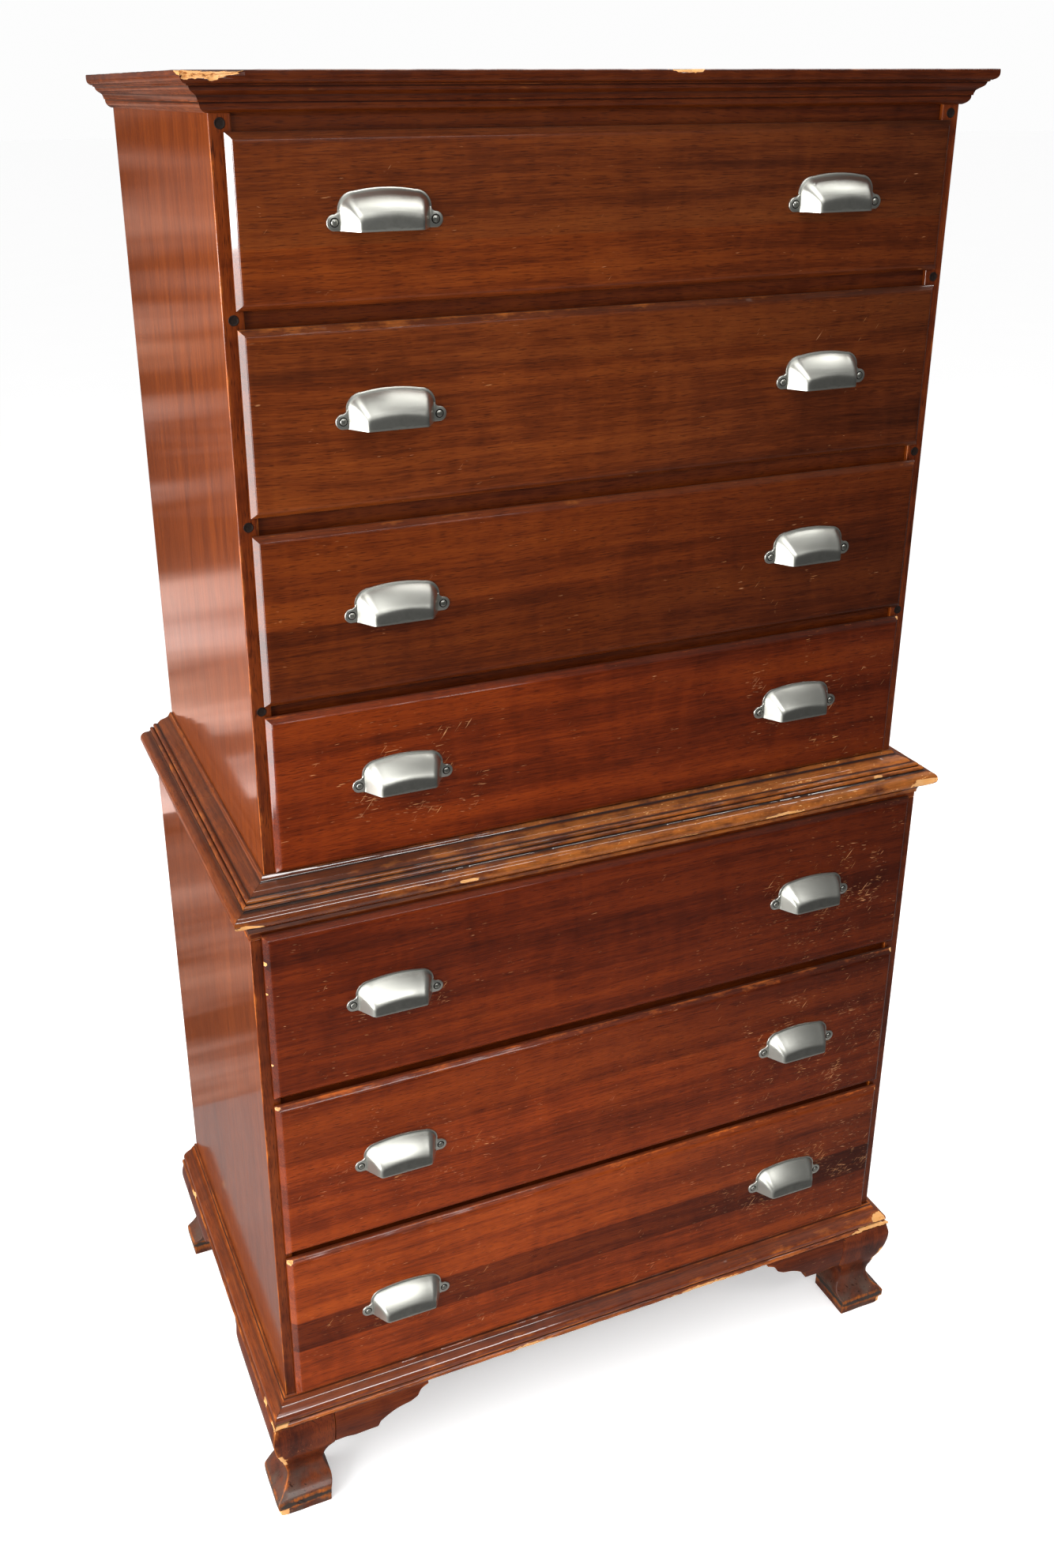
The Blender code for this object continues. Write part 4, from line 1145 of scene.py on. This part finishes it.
def add_front(number, sizes):
    """A lipped front: a board with a moulded edge, and a smaller part behind it."""
    node = f"drawer_{number}_front"
    low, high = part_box(node)
    case = high.y - REBATE
    half_x = (high.x - low.x) / 2
    half_z = (high.z - low.z) / 2
    middle_z = (high.z + low.z) / 2
    marks = FRONT_CHIPS.get(number, ())
    rubbed = FRONTS[number].lip
    upward = shares(2 * half_z, 0.010, [(2 * share - 1, reach) for _, share, reach, _ in marks])
    across = shares(2 * half_x, 0.010, [(sign, reach) for sign, share, reach, _ in marks if share > 0.9])
    rings = []
    wear = []
    gloss = []
    inward = []
    for inset_x, inset_z, y, weight, shine in front_profile(low.y, case):
        ring = frame_ring(half_x, half_z, (inset_x, inset_z), y, across, upward)
        top = np.clip((ring[:, 2] - half_z + 0.012) / 0.01, 0, 1)
        bottom = np.clip((-ring[:, 2] - half_z + 0.012) / 0.01, 0, 1)
        end = np.clip((abs(ring[:, 0]) - half_x + 0.012) / 0.01, 0, 1)
        lip = rubbed[0] + (rubbed[1] - rubbed[0]) * (ring[:, 0] / half_x + 1) / 2
        share = np.maximum(np.maximum(top * lip, end * 0.35), bottom * 0.3)
        corner = np.minimum(end, np.maximum(top, bottom))
        wear.append(weight * (share + 0.4 * corner))
        at_end = half_x - abs(ring[:, 0]) <= half_z - abs(ring[:, 2]) + 1e-6
        gloss.append(shine * np.where(at_end, 1.0, 0.15))
        ring[:, 2] += middle_z
        turn = np.column_stack([-np.sign(ring[:, 0]) * end, np.full(len(ring), 0.4), -(top - bottom)])
        inward.append(turn / np.linalg.norm(turn, axis=1)[:, None] * (weight > 0.3))
        rings.append(ring)
    points, faces = loft(rings)
    wear = np.concatenate(wear)
    chips = [chip(sign * half_x, low.y + 0.003, low.z + share * 2 * half_z, reach, 0.006, reach, deep)
             for sign, share, reach, deep in marks]
    points, bare = dented(points, np.vstack(inward), wear, sizes.dent_depth * 0.6, chips, 3.1 * number)
    return add_piece(f"drawer_{number}_lipped_front", points, faces, (f"drawer_{number}_wood",),
                     f"drawer_{number}", (node,), wear=wear, bare=bare,
                     gloss=np.concatenate(gloss), board=0.77 * number, angle=33)


def pin_heights(low, high):
    """Heights of the dovetail pins of a drawer box."""
    count = round((high.z - low.z) / PIN_PITCH)
    pitch = (high.z - low.z) / count
    return [low.z + pitch * (index + 0.5) for index in range(count)]


def add_dovetailed_side(name, low, high, heights, body, node, seed):
    """A drawer side whose front end has a slot for each dovetail pin."""
    outline = [(high[1], low[2]), (high[1], high[2]), (low[1], high[2])]
    for z in reversed(heights):
        outline += [(low[1], z + PIN_TIP), (low[1] + PIN_DEPTH, z + PIN_ROOT),
                    (low[1] + PIN_DEPTH, z - PIN_ROOT), (low[1], z - PIN_TIP)]
    outline.append((low[1], low[2]))
    work = bmesh.new()
    face = work.faces.new([work.verts.new((low[0], y, z)) for y, z in outline])
    grown = bmesh.ops.extrude_face_region(work, geom=[face])["geom"]
    bmesh.ops.translate(work, verts=[part for part in grown if isinstance(part, bmesh.types.BMVert)],
                        vec=(high[0] - low[0], 0.0, 0.0))
    bmesh.ops.bevel(work, geom=list(work.edges), offset=0.0006, segments=2, profile=0.5, affect="EDGES")
    work.verts.index_update()
    points = [vert.co.copy() for vert in work.verts]
    faces = [tuple(vert.index for vert in face.verts) for face in work.faces]
    work.free()
    points, faces, _, _ = settled(points, faces, [0] * len(faces))
    add_piece(name, points, faces, ("pine_along_y",), body, (node,), board=seed, angle=40)


def add_pins(number, low, high, heights):
    """The ends of the front's dovetail pins, flush with the outside of both sides."""
    points = []
    faces = []
    play = 0.0002
    for x0, x1 in ((low.x, low.x + BOX_WALL), (high.x - BOX_WALL, high.x)):
        for z in heights:
            start = len(points)
            for x in (x0 + play, x1 - play):
                points += [(x, low.y + play, z - PIN_TIP + play), (x, low.y + play, z + PIN_TIP - play),
                           (x, low.y + PIN_DEPTH - play, z + PIN_ROOT - play),
                           (x, low.y + PIN_DEPTH - play, z - PIN_ROOT + play)]
            faces += [tuple(start + i for i in face) for face in (
                (0, 1, 2, 3), (7, 6, 5, 4), (0, 4, 5, 1), (1, 5, 6, 2), (2, 6, 7, 3), (3, 7, 4, 0))]
    add_piece(f"drawer_{number}_dovetail_pins", points, faces, (f"drawer_{number}_wood",), f"drawer_{number}",
              angle=30)


def add_box_boards(number):
    """Two sides, a back and a bottom in place of the plain drawer box."""
    node = f"drawer_{number}_box"
    low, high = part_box(node)
    body = f"drawer_{number}"
    wall, gap = BOX_WALL, GAP
    heights = pin_heights(low, high)
    for index, (word, x0) in enumerate((("left_board", low.x), ("right_board", high.x - wall))):
        add_dovetailed_side(f"drawer_{number}_{word}", (x0, low.y, low.z), (x0 + wall, high.y, high.z),
                            heights, body, node, number * 0.31 + index * 0.7)
    add_pins(number, low, high, heights)
    boards = {
        "back_piece": ((low.x + wall + gap, high.y - wall, low.z + BOX_BOTTOM + gap),
                       (high.x - wall - gap, high.y, high.z - 0.006), "pine_along_x"),
        "bottom_board": ((low.x + wall + gap, low.y, low.z + 0.002),
                         (high.x - wall - gap, high.y, low.z + BOX_BOTTOM), "pine_along_x"),
    }
    for index, (word, (start, end, finish)) in enumerate(boards.items()):
        board(f"drawer_{number}_{word}", start, end, (finish,), body, "secondary_wood", node, 0.0009,
              number * 0.31 + index * 0.7)


class CHEST_OT_drawers(bpy.types.Operator):
    """Lipped drawer fronts and their boxes"""
    bl_idname = "chest.drawers"
    bl_label = "Drawers"

    def execute(self, context):
        for number in DRAWERS:
            front_material(number, context.scene.chest_colours)
            add_front(number, context.scene.chest_sizes)
            add_box_boards(number)
        return {"FINISHED"}


# ---------------------------------------------------------------- pulls
EAR_THICKNESS = 0.0021
SCREW_OUT = 0.0528          # a screw from the middle of its pull
SCREW_UP = 0.0082           # and from the pull's foot
# Painted dark reflection: how dark a cup's front face is painted.
FACE_DARK_REFLECTION = 0.85
FOOT_HIGHLIGHT = 0.0022        # painted highlight: height over which a pull's bottom edge is left bright


def arch(half, height, corner, crown, count=12):
    """Open line over an arch, from its left foot to its right one."""
    crown_part = [(x, height + crown * (1 - (x / (half - corner)) ** 2))
                  for x in np.linspace(half - corner, 0, count // 2 + 1)[1:]]
    side = [(half, z) for z in np.linspace(0, height - corner, 5)[:-1]]
    right = side + arc((half - corner, height - corner), corner, 0, 90,
                       8)[:-1] + [(half - corner, height)] + crown_part
    return [(-x, z) for x, z in right[:-1]] + [right[-1]] + right[:-1][::-1]


def pull_sections():
    """Depth, half width, height, corner radius, crown and tarnish, from the rim to the front face; towards the
    face the tarnish is painted shade, a dark reflection.
    """
    return np.array([
        (0.0000, 0.0490, 0.0370, 0.0170, 0.0030, 0.2), (0.0009, 0.0490, 0.0370, 0.0170, 0.0030, 0.0),
        (0.0013, 0.0488, 0.0368, 0.0168, 0.0030, 0.0), (0.0015, 0.0483, 0.0363, 0.0164, 0.0030, 0.1),
        (0.0016, 0.0474, 0.0355, 0.0158, 0.0030, 0.6), (0.0021, 0.0466, 0.0348, 0.0152, 0.0029, 0.7),
        (0.0042, 0.0454, 0.0334, 0.0138, 0.0028, 0.2), (0.0085, 0.0430, 0.0300, 0.0114, 0.0027, 0.0),
        (0.0130, 0.0402, 0.0259, 0.0092, 0.0026, 0.0), (0.0170, 0.0379, 0.0219, 0.0078, 0.0026, 0.0),
        (0.0198, 0.0362, 0.0188, 0.0070, 0.0027, 0.0), (0.0217, 0.0349, 0.0164, 0.0064, 0.0028, 0.1),
        # The last sections darken towards the face: painted dark reflection.
        (0.0230, 0.0338, 0.0146, 0.0060, 0.0029, 0.45), (0.0239, 0.0327, 0.0131, 0.0056, 0.0030, 0.72),
        (0.0243, 0.0316, 0.0118, 0.0053, 0.0030, 0.85), (0.0245, 0.0302, 0.0104, 0.0050, 0.0030, 0.85)])


def cup_shell():
    """Points, faces and tarnish, with painted shade on the face and a painted highlight at the foot, of a cup in
    its own place: X across, -Y out, Z up from its foot.
    """
    rings = []
    tarnish_and_shade = []
    for depth, half, height, corner, crown, dark in pull_sections():
        line = arch(half, height, corner, crown)
        rings.append([(x, -depth, z) for x, z in line])
        # Tarnish fades out towards the foot: a painted highlight along the bottom edge.
        tarnish_and_shade += [dark * min(1.0, z / FOOT_HIGHLIGHT) for _, z in line]
    last = np.array(rings[-1])
    for share in (0.8, 0.55, 0.3, 0.12, 0.02):
        ring = last * (share, 1, share)
        rings.append([tuple(p) for p in ring])
        tarnish_and_shade += [FACE_DARK_REFLECTION * min(1.0, z / FOOT_HIGHLIGHT) for _, _, z in ring]
    points, faces = loft([np.array(ring) for ring in rings], closed=False, caps=False)
    return points, faces, tarnish_and_shade


def ear_outline():
    """Outline of the right screw ear, from the middle of the pull."""
    centre, radius = (0.0528, 0.0079), 0.0080
    ear = [(0.0405, 0.0), (0.0500, 0.0), *arc(centre, radius, -78, 92, 14)]
    return ear + spline([(0.0515, 0.0162), (0.0492, 0.0178), (0.0476, 0.0206)], 3) + [(0.0405, 0.0206)]


def add_ear(work, sign, thickness):
    """Screw ear: a rounded plate against the rim, in the same mesh as the cup."""
    outline = ear_outline()
    rings = []
    for inset, depth in ((0.0, 0.0), (0.0, thickness - 0.0006), (0.0003, thickness - 0.0002),
                         (0.0009, thickness)):
        centre = np.array((0.0500, 0.0075))
        ring = []
        for point in np.array(outline):
            away = point - centre
            ring.append(point - away / max(np.linalg.norm(away), 1e-6) * inset)
        rings.append(np.column_stack([np.array(ring)[:, 0] * sign, np.full(len(ring), -depth),
                                      np.array(ring)[:, 1]]))
    points, faces = loft(rings)
    verts = [work.verts.new(tuple(point)) for point in points]
    for face in faces:
        made = work.faces.new([verts[i] for i in face])
        made.smooth = True


def pull_mesh(sizes):
    """Cup with a folded rim and two screw ears, as one mesh to share between the pulls."""
    points, faces, tarnish_and_shade = cup_shell()
    mesh = bpy.data.meshes.new("cup_shell")
    mesh.from_pydata([tuple(p) for p in points], [], faces)
    # The wear attribute carries the tarnish with the painted shade and highlight.
    mesh.attributes.new("wear", "FLOAT", "POINT").data.foreach_set("value", tarnish_and_shade)
    shell = link_object("cup_shell", mesh)
    solid = shell.modifiers.new("wall", "SOLIDIFY")
    solid.thickness = sizes.pull_wall
    solid.offset = 1.0
    solid.use_even_offset = True
    made = bpy.data.meshes.new_from_object(shell.evaluated_get(bpy.context.evaluated_depsgraph_get()))
    bpy.data.objects.remove(shell)
    work = bmesh.new()
    work.from_mesh(made)
    for sign in (-1, 1):
        add_ear(work, sign, EAR_THICKNESS)
    bmesh.ops.recalc_face_normals(work, faces=work.faces)
    work.to_mesh(made)
    work.free()
    made.materials.append(material("nickel"))
    made.shade_smooth()
    made.set_sharp_from_angle(angle=math.radians(40))
    return made


def turned(profile, steps):
    """A line of (radius, Y) points turned round the Y axis."""
    work = bmesh.new()
    verts = [work.verts.new((x, y, 0)) for x, y in profile]
    for first, last in zip(verts, verts[1:]):
        work.edges.new((first, last))
    bmesh.ops.spin(work, geom=work.verts[:] + work.edges[:], cent=(0, 0, 0), axis=(0, 1, 0),
                   angle=2 * math.pi, steps=steps, use_merge=True)
    bmesh.ops.remove_doubles(work, verts=work.verts, dist=0.00002)
    return work


def screw_mesh(radius):
    """Domed head with a crossed slot, its flat side at Y = 0 and its dome towards -Y."""
    profile = [(radius, 0.0), (radius, -0.0004)]
    angles = np.radians(np.linspace(12, 90, 7))
    profile += [(radius * math.cos(a), -0.0004 - 0.0013 * math.sin(a)) for a in angles]
    work = turned(profile, 20)
    bmesh.ops.holes_fill(work, edges=[edge for edge in work.edges if edge.is_boundary])
    bmesh.ops.recalc_face_normals(work, faces=work.faces)
    mesh = bpy.data.meshes.new("screw_head")
    work.to_mesh(mesh)
    work.free()
    head = link_object("screw_head", mesh)
    for turn in (0.4, 0.4 + math.pi / 2):
        cutter_mesh = bpy.data.meshes.new("slot")
        cutter = bmesh.new()
        bmesh.ops.create_cube(cutter, size=1.0)
        place = Matrix.Rotation(turn, 4, "Y") @ Matrix.Translation((0, -0.0017, 0))
        bmesh.ops.transform(cutter, matrix=place @ Matrix.Diagonal((radius * 1.2, 0.0016, 0.0007, 1)),
                            verts=cutter.verts)
        cutter.to_mesh(cutter_mesh)
        cutter.free()
        tool = link_object("slot", cutter_mesh)
        cut = head.modifiers.new("slot", "BOOLEAN")
        cut.operation = "DIFFERENCE"
        cut.object = tool
        result = bpy.data.meshes.new_from_object(head.evaluated_get(bpy.context.evaluated_depsgraph_get()))
        head.modifiers.clear()
        head.data = result
        bpy.data.objects.remove(tool)
    made = head.data
    bpy.data.objects.remove(head)
    dish = bmesh.new()
    dish.from_mesh(made)
    count = len(dish.faces)
    around = np.linspace(0, 2 * math.pi, 25)[:-1]
    rim = [[dish.verts.new((r * math.sin(a), y, r * math.cos(a))) for a in around]
           for r, y in ((radius * 0.9, 0.0001), (radius * 1.28, 0.0), (radius * 1.36, 0.0003))]
    for first, last in zip(rim, rim[1:]):
        for a in range(24):
            dish.faces.new((first[a], first[a - 1], last[a - 1], last[a]))
    dish.faces.ensure_lookup_table()
    for face in dish.faces[count:]:
        face.material_index = 1
    dish.to_mesh(made)
    dish.free()
    settle_mesh(made)
    made.materials.append(material("screw_steel"))
    made.materials.append(material("screw_slot"))
    made.shade_smooth()
    made.set_sharp_from_angle(angle=math.radians(35))
    return made


def place_shared(name, mesh, place, body, replaces=()):
    """An object with a shared mesh, riding on a body."""
    thing = link_object(name, mesh)
    thing.location = place
    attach(thing, body)
    if replaces:
        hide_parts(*replaces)
    return thing


class CHEST_OT_pulls(bpy.types.Operator):
    """Cup pulls and their screws"""
    bl_idname = "chest.pulls"
    bl_label = "Pulls"

    def execute(self, context):
        sizes = context.scene.chest_sizes
        cup = pull_mesh(sizes)
        screw = screw_mesh(sizes.screw_radius)
        for number in DRAWERS:
            body = f"drawer_{number}"
            for word in ("left", "right"):
                node = f"{body}_{word}_pull"
                low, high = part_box(node)
                x, y, z = (low.x + high.x) / 2, high.y, low.z
                place_shared(f"{body}_{word}_cup_pull", cup, (x, y, z), body, (node,))
                for side, sign in (("outer", -1), ("inner", 1)):
                    place_shared(f"{body}_{word}_{side}_screw", screw,
                                 (x + sign * SCREW_OUT, y - EAR_THICKNESS - 0.0002, z + SCREW_UP),
                                 body)
        return {"FINISHED"}


def nail_heads(name, places, radius):
    """Flat round nail heads on a back board, facing +Y, as one piece."""
    points = []
    faces = []
    for x, y, z in places:
        start = len(points)
        for share, out in ((1.0, -0.0004), (1.0, 0.0004), (0.7, 0.0008)):
            points += [(x + radius * share * math.cos(a), y + out, z + radius * share * math.sin(a))
                       for a in np.linspace(0, 2 * math.pi, 11)[:-1]]
        for ring in (start, start + 10):
            for i in range(10):
                after = (i + 1) % 10
                faces.append((ring + i, ring + after, ring + 10 + after, ring + 10 + i))
        faces.append(tuple(range(start + 20, start + 30)))
        faces.append(tuple(range(start, start + 10))[::-1])
    return add_piece(name, points, faces, ("screw_steel",), "case", angle=40)


class CHEST_OT_small_parts(bpy.types.Operator):
    """Round plugs beside the rails, an old filled hole, and nail heads in the backs"""
    bl_idname = "chest.small_parts"
    bl_label = "Small parts"

    def execute(self, context):
        radius = context.scene.chest_sizes.plug_radius
        profile = [(radius, 0.001), (radius, -0.0002), (radius * 0.9, -0.0004), (radius * 0.82, 0.0),
                   (radius * 0.5, 0.0001), (0.0, 0.0001)]
        work = turned(profile, 24)
        bmesh.ops.recalc_face_normals(work, faces=work.faces)
        mesh = bpy.data.meshes.new("plug")
        work.to_mesh(mesh)
        work.free()
        settle_mesh(mesh)
        mesh.materials.append(material("plug_filler"))
        mesh.shade_smooth()
        edge = (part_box("upper_left_side")[1].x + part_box("upper_left_side")[0].x) / 2
        for index, node in enumerate(("upper_divider_1", "upper_divider_2", "upper_divider_3")):
            low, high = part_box(node)
            rail = (high.z + low.z) / 2
            for word, sign in (("left", 1), ("right", -1)):
                place_shared(f"{word}_plug_{index + 1}", mesh, (sign * edge, UPPER_FRONT - GAP, rail), "case")
        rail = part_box("cornice_front")[0].z - 0.009
        for word, sign in (("left", 1), ("right", -1)):
            place_shared(f"{word}_plug_4", mesh, (sign * edge, UPPER_FRONT - GAP, rail), "case")
        low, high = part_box("drawer_2_left_pull")
        place_shared("drawer_2_old_hole", mesh, ((low.x + high.x) / 2 + 0.004, high.y - GAP, low.z - 0.0005),
                     "drawer_2")
        for case in ("upper", "lower"):
            low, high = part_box(f"{case}_back")
            rows = np.linspace(low.z + 0.012, high.z - 0.012, 8)
            places = [(x, high.y, z) for x in (low.x + 0.008, high.x - 0.008) for z in rows]
            places += [(x, high.y, z) for x in np.linspace(low.x + 0.10, high.x - 0.10, 6)
                       for z in (low.z + 0.010, high.z - 0.010)]
            nail_heads(f"{case}_back_nails", [(x, y - 0.0009, z) for x, y, z in places], 0.0028)
        return {"FINISHED"}


# ---------------------------------------------------------------- stage
# Lamps: place, what they face, width and height, and power.
LAMPS = (
    ("left_window", (-2.3, -0.7, 1.15), (-0.2, -0.7, 1.15), (3.0, 2.2), 78.0),
    ("window_pane", (-2.28, -0.75, 1.62), (-0.4, -0.6, 1.62), (2.2, 0.34), 30.0),
    ("overhead", (0.9, 0.10, 3.3), (0.9, 0.10, 0.9), (2.0, 1.0), 60.0),
    ("front_lamp", (0.35, -2.4, 2.7), (0.0, -0.3, 1.0), (1.2, 0.30), 12.0),
)
# Cards: Y, left end, top and brightness.
CARDS = (("tall_card", 1.6, -1.7, 1.75, 1.3), ("low_card", 0.62, -1.0, 0.62, 0.8))
CARD_RIGHT = -0.47
CAMERA_PLACE = (-0.7585, -1.6804, 1.7716)
CAMERA_TURN = (22.765, -22.684, -0.324)     # yaw, pitch and roll in degrees
DAYLIGHT_WAY = (0.30, 0.55, -0.85)


def soft_light(name, place, target, size, power):
    """A large rectangular lamp that the camera doesn't see."""
    lamp = bpy.data.lights.new(name, "AREA")
    lamp.shape = "RECTANGLE"
    lamp.size, lamp.size_y = size
    lamp.energy = power
    thing = link_object(name, lamp)
    thing.location = place
    thing.visible_camera = False
    thing.rotation_euler = (Vector(target) - Vector(place)).to_track_quat("-Z", "Y").to_euler()


def add_card(name, y, left, top, glow):
    """A standing card behind the left side, only seen as bands of light in the polished veneer."""
    finish = bpy.data.materials.new(name)
    finish.use_nodes = True
    n = Nodes(finish.node_tree)
    finish.node_tree.nodes.remove(finish.node_tree.nodes["Principled BSDF"])
    place = n.object_place()
    bands = n.noise(n.scaled(place, (0.6, 1.0, 7.5)), detail=3.0, roughness=0.6)
    low = n.span(n.add("SeparateXYZ", Vector=place).outputs["Z"], 0.0, top, 1.25, 0.45)
    light = n.math("MULTIPLY", n.span(bands, 0.44, 0.66, 0.05, glow), low)
    tint = n.blend(n.noise(n.scaled(place, (0.4, 1.0, 5.0)), detail=1.0), (1.0, 0.45, 0.25, 1),
                   (1.0, 0.86, 0.84, 1))
    shine = n.add("Emission", Color=tint, Strength=light)
    n.put(finish.node_tree.nodes["Material Output"].inputs["Surface"], shine.outputs[0])
    mesh = bpy.data.meshes.new(name)
    mesh.from_pydata([(left, y, 0.0), (CARD_RIGHT, y, 0.0), (CARD_RIGHT, y, top), (left, y, top)], [],
                     [(0, 1, 2, 3)])
    mesh.materials.append(finish)
    card = link_object(name, mesh)
    card.visible_camera = card.visible_diffuse = card.visible_shadow = False


class CHEST_OT_stage(bpy.types.Operator):
    """Pale floor, soft light and the camera"""
    bl_idname = "chest.stage"
    bl_label = "Stage"

    def execute(self, context):
        scene = context.scene
        shade, n, shader = start_material("pale_floor")
        place = n.object_place()
        mottle = n.noise(place, scale=2.0, detail=3.0)
        pale = scene.chest_colours.floor
        seen = n.blend(mottle, rgba(pale, 0.985), rgba(pale, 1.015))
        path = n.add("LightPath").outputs
        mirrored = path["Is Glossy Ray"]
        away = n.add("VectorMath", {"operation": "LENGTH"})
        n.put(away.inputs[0], place)
        near = n.blend(n.span(away.outputs["Value"], 0.7, 2.0), rgba(pale, 0.24), rgba(pale, 0.08))
        shader.inputs["Emission Color"].default_value = (1.0, 1.0, 1.0, 1.0)
        n.put(shader.inputs["Emission Strength"], n.math("MULTIPLY", path["Is Camera Ray"], 0.34))
        n.put(shader.inputs["Base Color"], n.blend(mirrored, seen, near))
        shader.inputs["Roughness"].default_value = 0.8
        shader.inputs["Specular IOR Level"].default_value = 0.1
        work = bmesh.new()
        bmesh.ops.create_grid(work, x_segments=4, y_segments=4, size=60.0)
        mesh = bpy.data.meshes.new("floor")
        work.to_mesh(mesh)
        work.free()
        mesh.materials.append(shade)
        floor = link_object("floor", mesh)

        world = bpy.data.worlds.new("studio")
        world.use_nodes = True
        sky = Nodes(world.node_tree)
        path = sky.add("LightPath").outputs
        strength = sky.math("MULTIPLY_ADD", path["Is Camera Ray"], 0.56, 0.42)
        strength = sky.math("MULTIPLY_ADD", path["Is Glossy Ray"], -0.31, strength)
        background = world.node_tree.nodes["Background"]
        background.inputs["Color"].default_value = (1.0, 1.0, 1.0, 1.0)
        sky.put(background.inputs["Strength"], strength)
        scene.world = world

        sun = bpy.data.lights.new("daylight", "SUN")
        sun.energy = 1.15
        sun.angle = math.radians(50)
        sun_thing = link_object("daylight", sun)
        sun_thing.rotation_euler = Vector(DAYLIGHT_WAY).to_track_quat("-Z", "Y").to_euler()
        for name, place, target, size, power in LAMPS:
            soft_light(name, place, target, size, power)
        for name, y, left, top, glow in CARDS:
            add_card(name, y, left, top, glow)
        scene.view_settings.view_transform = "Standard"

        camera = bpy.data.cameras.new("camera")
        camera.sensor_fit = "HORIZONTAL"
        camera.sensor_width = 36.0
        camera.lens = 50.15
        camera.shift_x = 0.0328
        camera.shift_y = -0.0794
        camera.clip_end = 60.0
        view = link_object("camera", camera)
        yaw, pitch, roll = (math.radians(angle) for angle in CAMERA_TURN)
        forward = Vector((math.sin(yaw) * math.cos(pitch), math.cos(yaw) * math.cos(pitch), math.sin(pitch)))
        right = Vector((math.cos(yaw), -math.sin(yaw), 0.0))
        up = right.cross(forward)
        right, up = right * math.cos(roll) + up * math.sin(roll), up * math.cos(roll) - right * math.sin(roll)
        view.matrix_world = Matrix.Translation(CAMERA_PLACE) @ Matrix(
            (right, up, -forward)).transposed().to_4x4()
        scene.camera = view
        return {"FINISHED"}


class CHEST_PT_panel(bpy.types.Panel):
    """Lists the steps that build the chest, then its sizes and colours"""
    bl_label = "Tall chest"
    bl_idname = "CHEST_PT_panel"
    bl_space_type = "VIEW_3D"
    bl_region_type = "UI"
    bl_category = "Chest"

    def draw(self, context):
        for operator in OPERATORS:
            self.layout.operator(operator.bl_idname)
        for group in (context.scene.chest_sizes, context.scene.chest_colours):
            for key in group.__annotations__:
                self.layout.prop(group, key)


OPERATORS = (CHEST_OT_materials, CHEST_OT_cases, CHEST_OT_mouldings, CHEST_OT_feet, CHEST_OT_drawers,
             CHEST_OT_pulls, CHEST_OT_small_parts, CHEST_OT_stage)
CLASSES = (ChestSizes, ChestColours, *OPERATORS, CHEST_PT_panel)


def register():
    """Adds the chest's classes and settings to Blender."""
    for item in CLASSES:
        bpy.utils.register_class(item)
    bpy.types.Scene.chest_sizes = bpy.props.PointerProperty(type=ChestSizes)
    bpy.types.Scene.chest_colours = bpy.props.PointerProperty(type=ChestColours)


def unregister():
    """Takes them out again."""
    del bpy.types.Scene.chest_sizes
    del bpy.types.Scene.chest_colours
    for item in reversed(CLASSES):
        bpy.utils.unregister_class(item)


def main():
    """Builds the chest."""
    register()
    bpy.ops.chest.materials()
    bpy.ops.chest.cases()
    bpy.ops.chest.mouldings()
    bpy.ops.chest.feet()
    bpy.ops.chest.drawers()
    bpy.ops.chest.pulls()
    bpy.ops.chest.small_parts()
    bpy.ops.chest.stage()


if __name__ == "__main__":
    main()
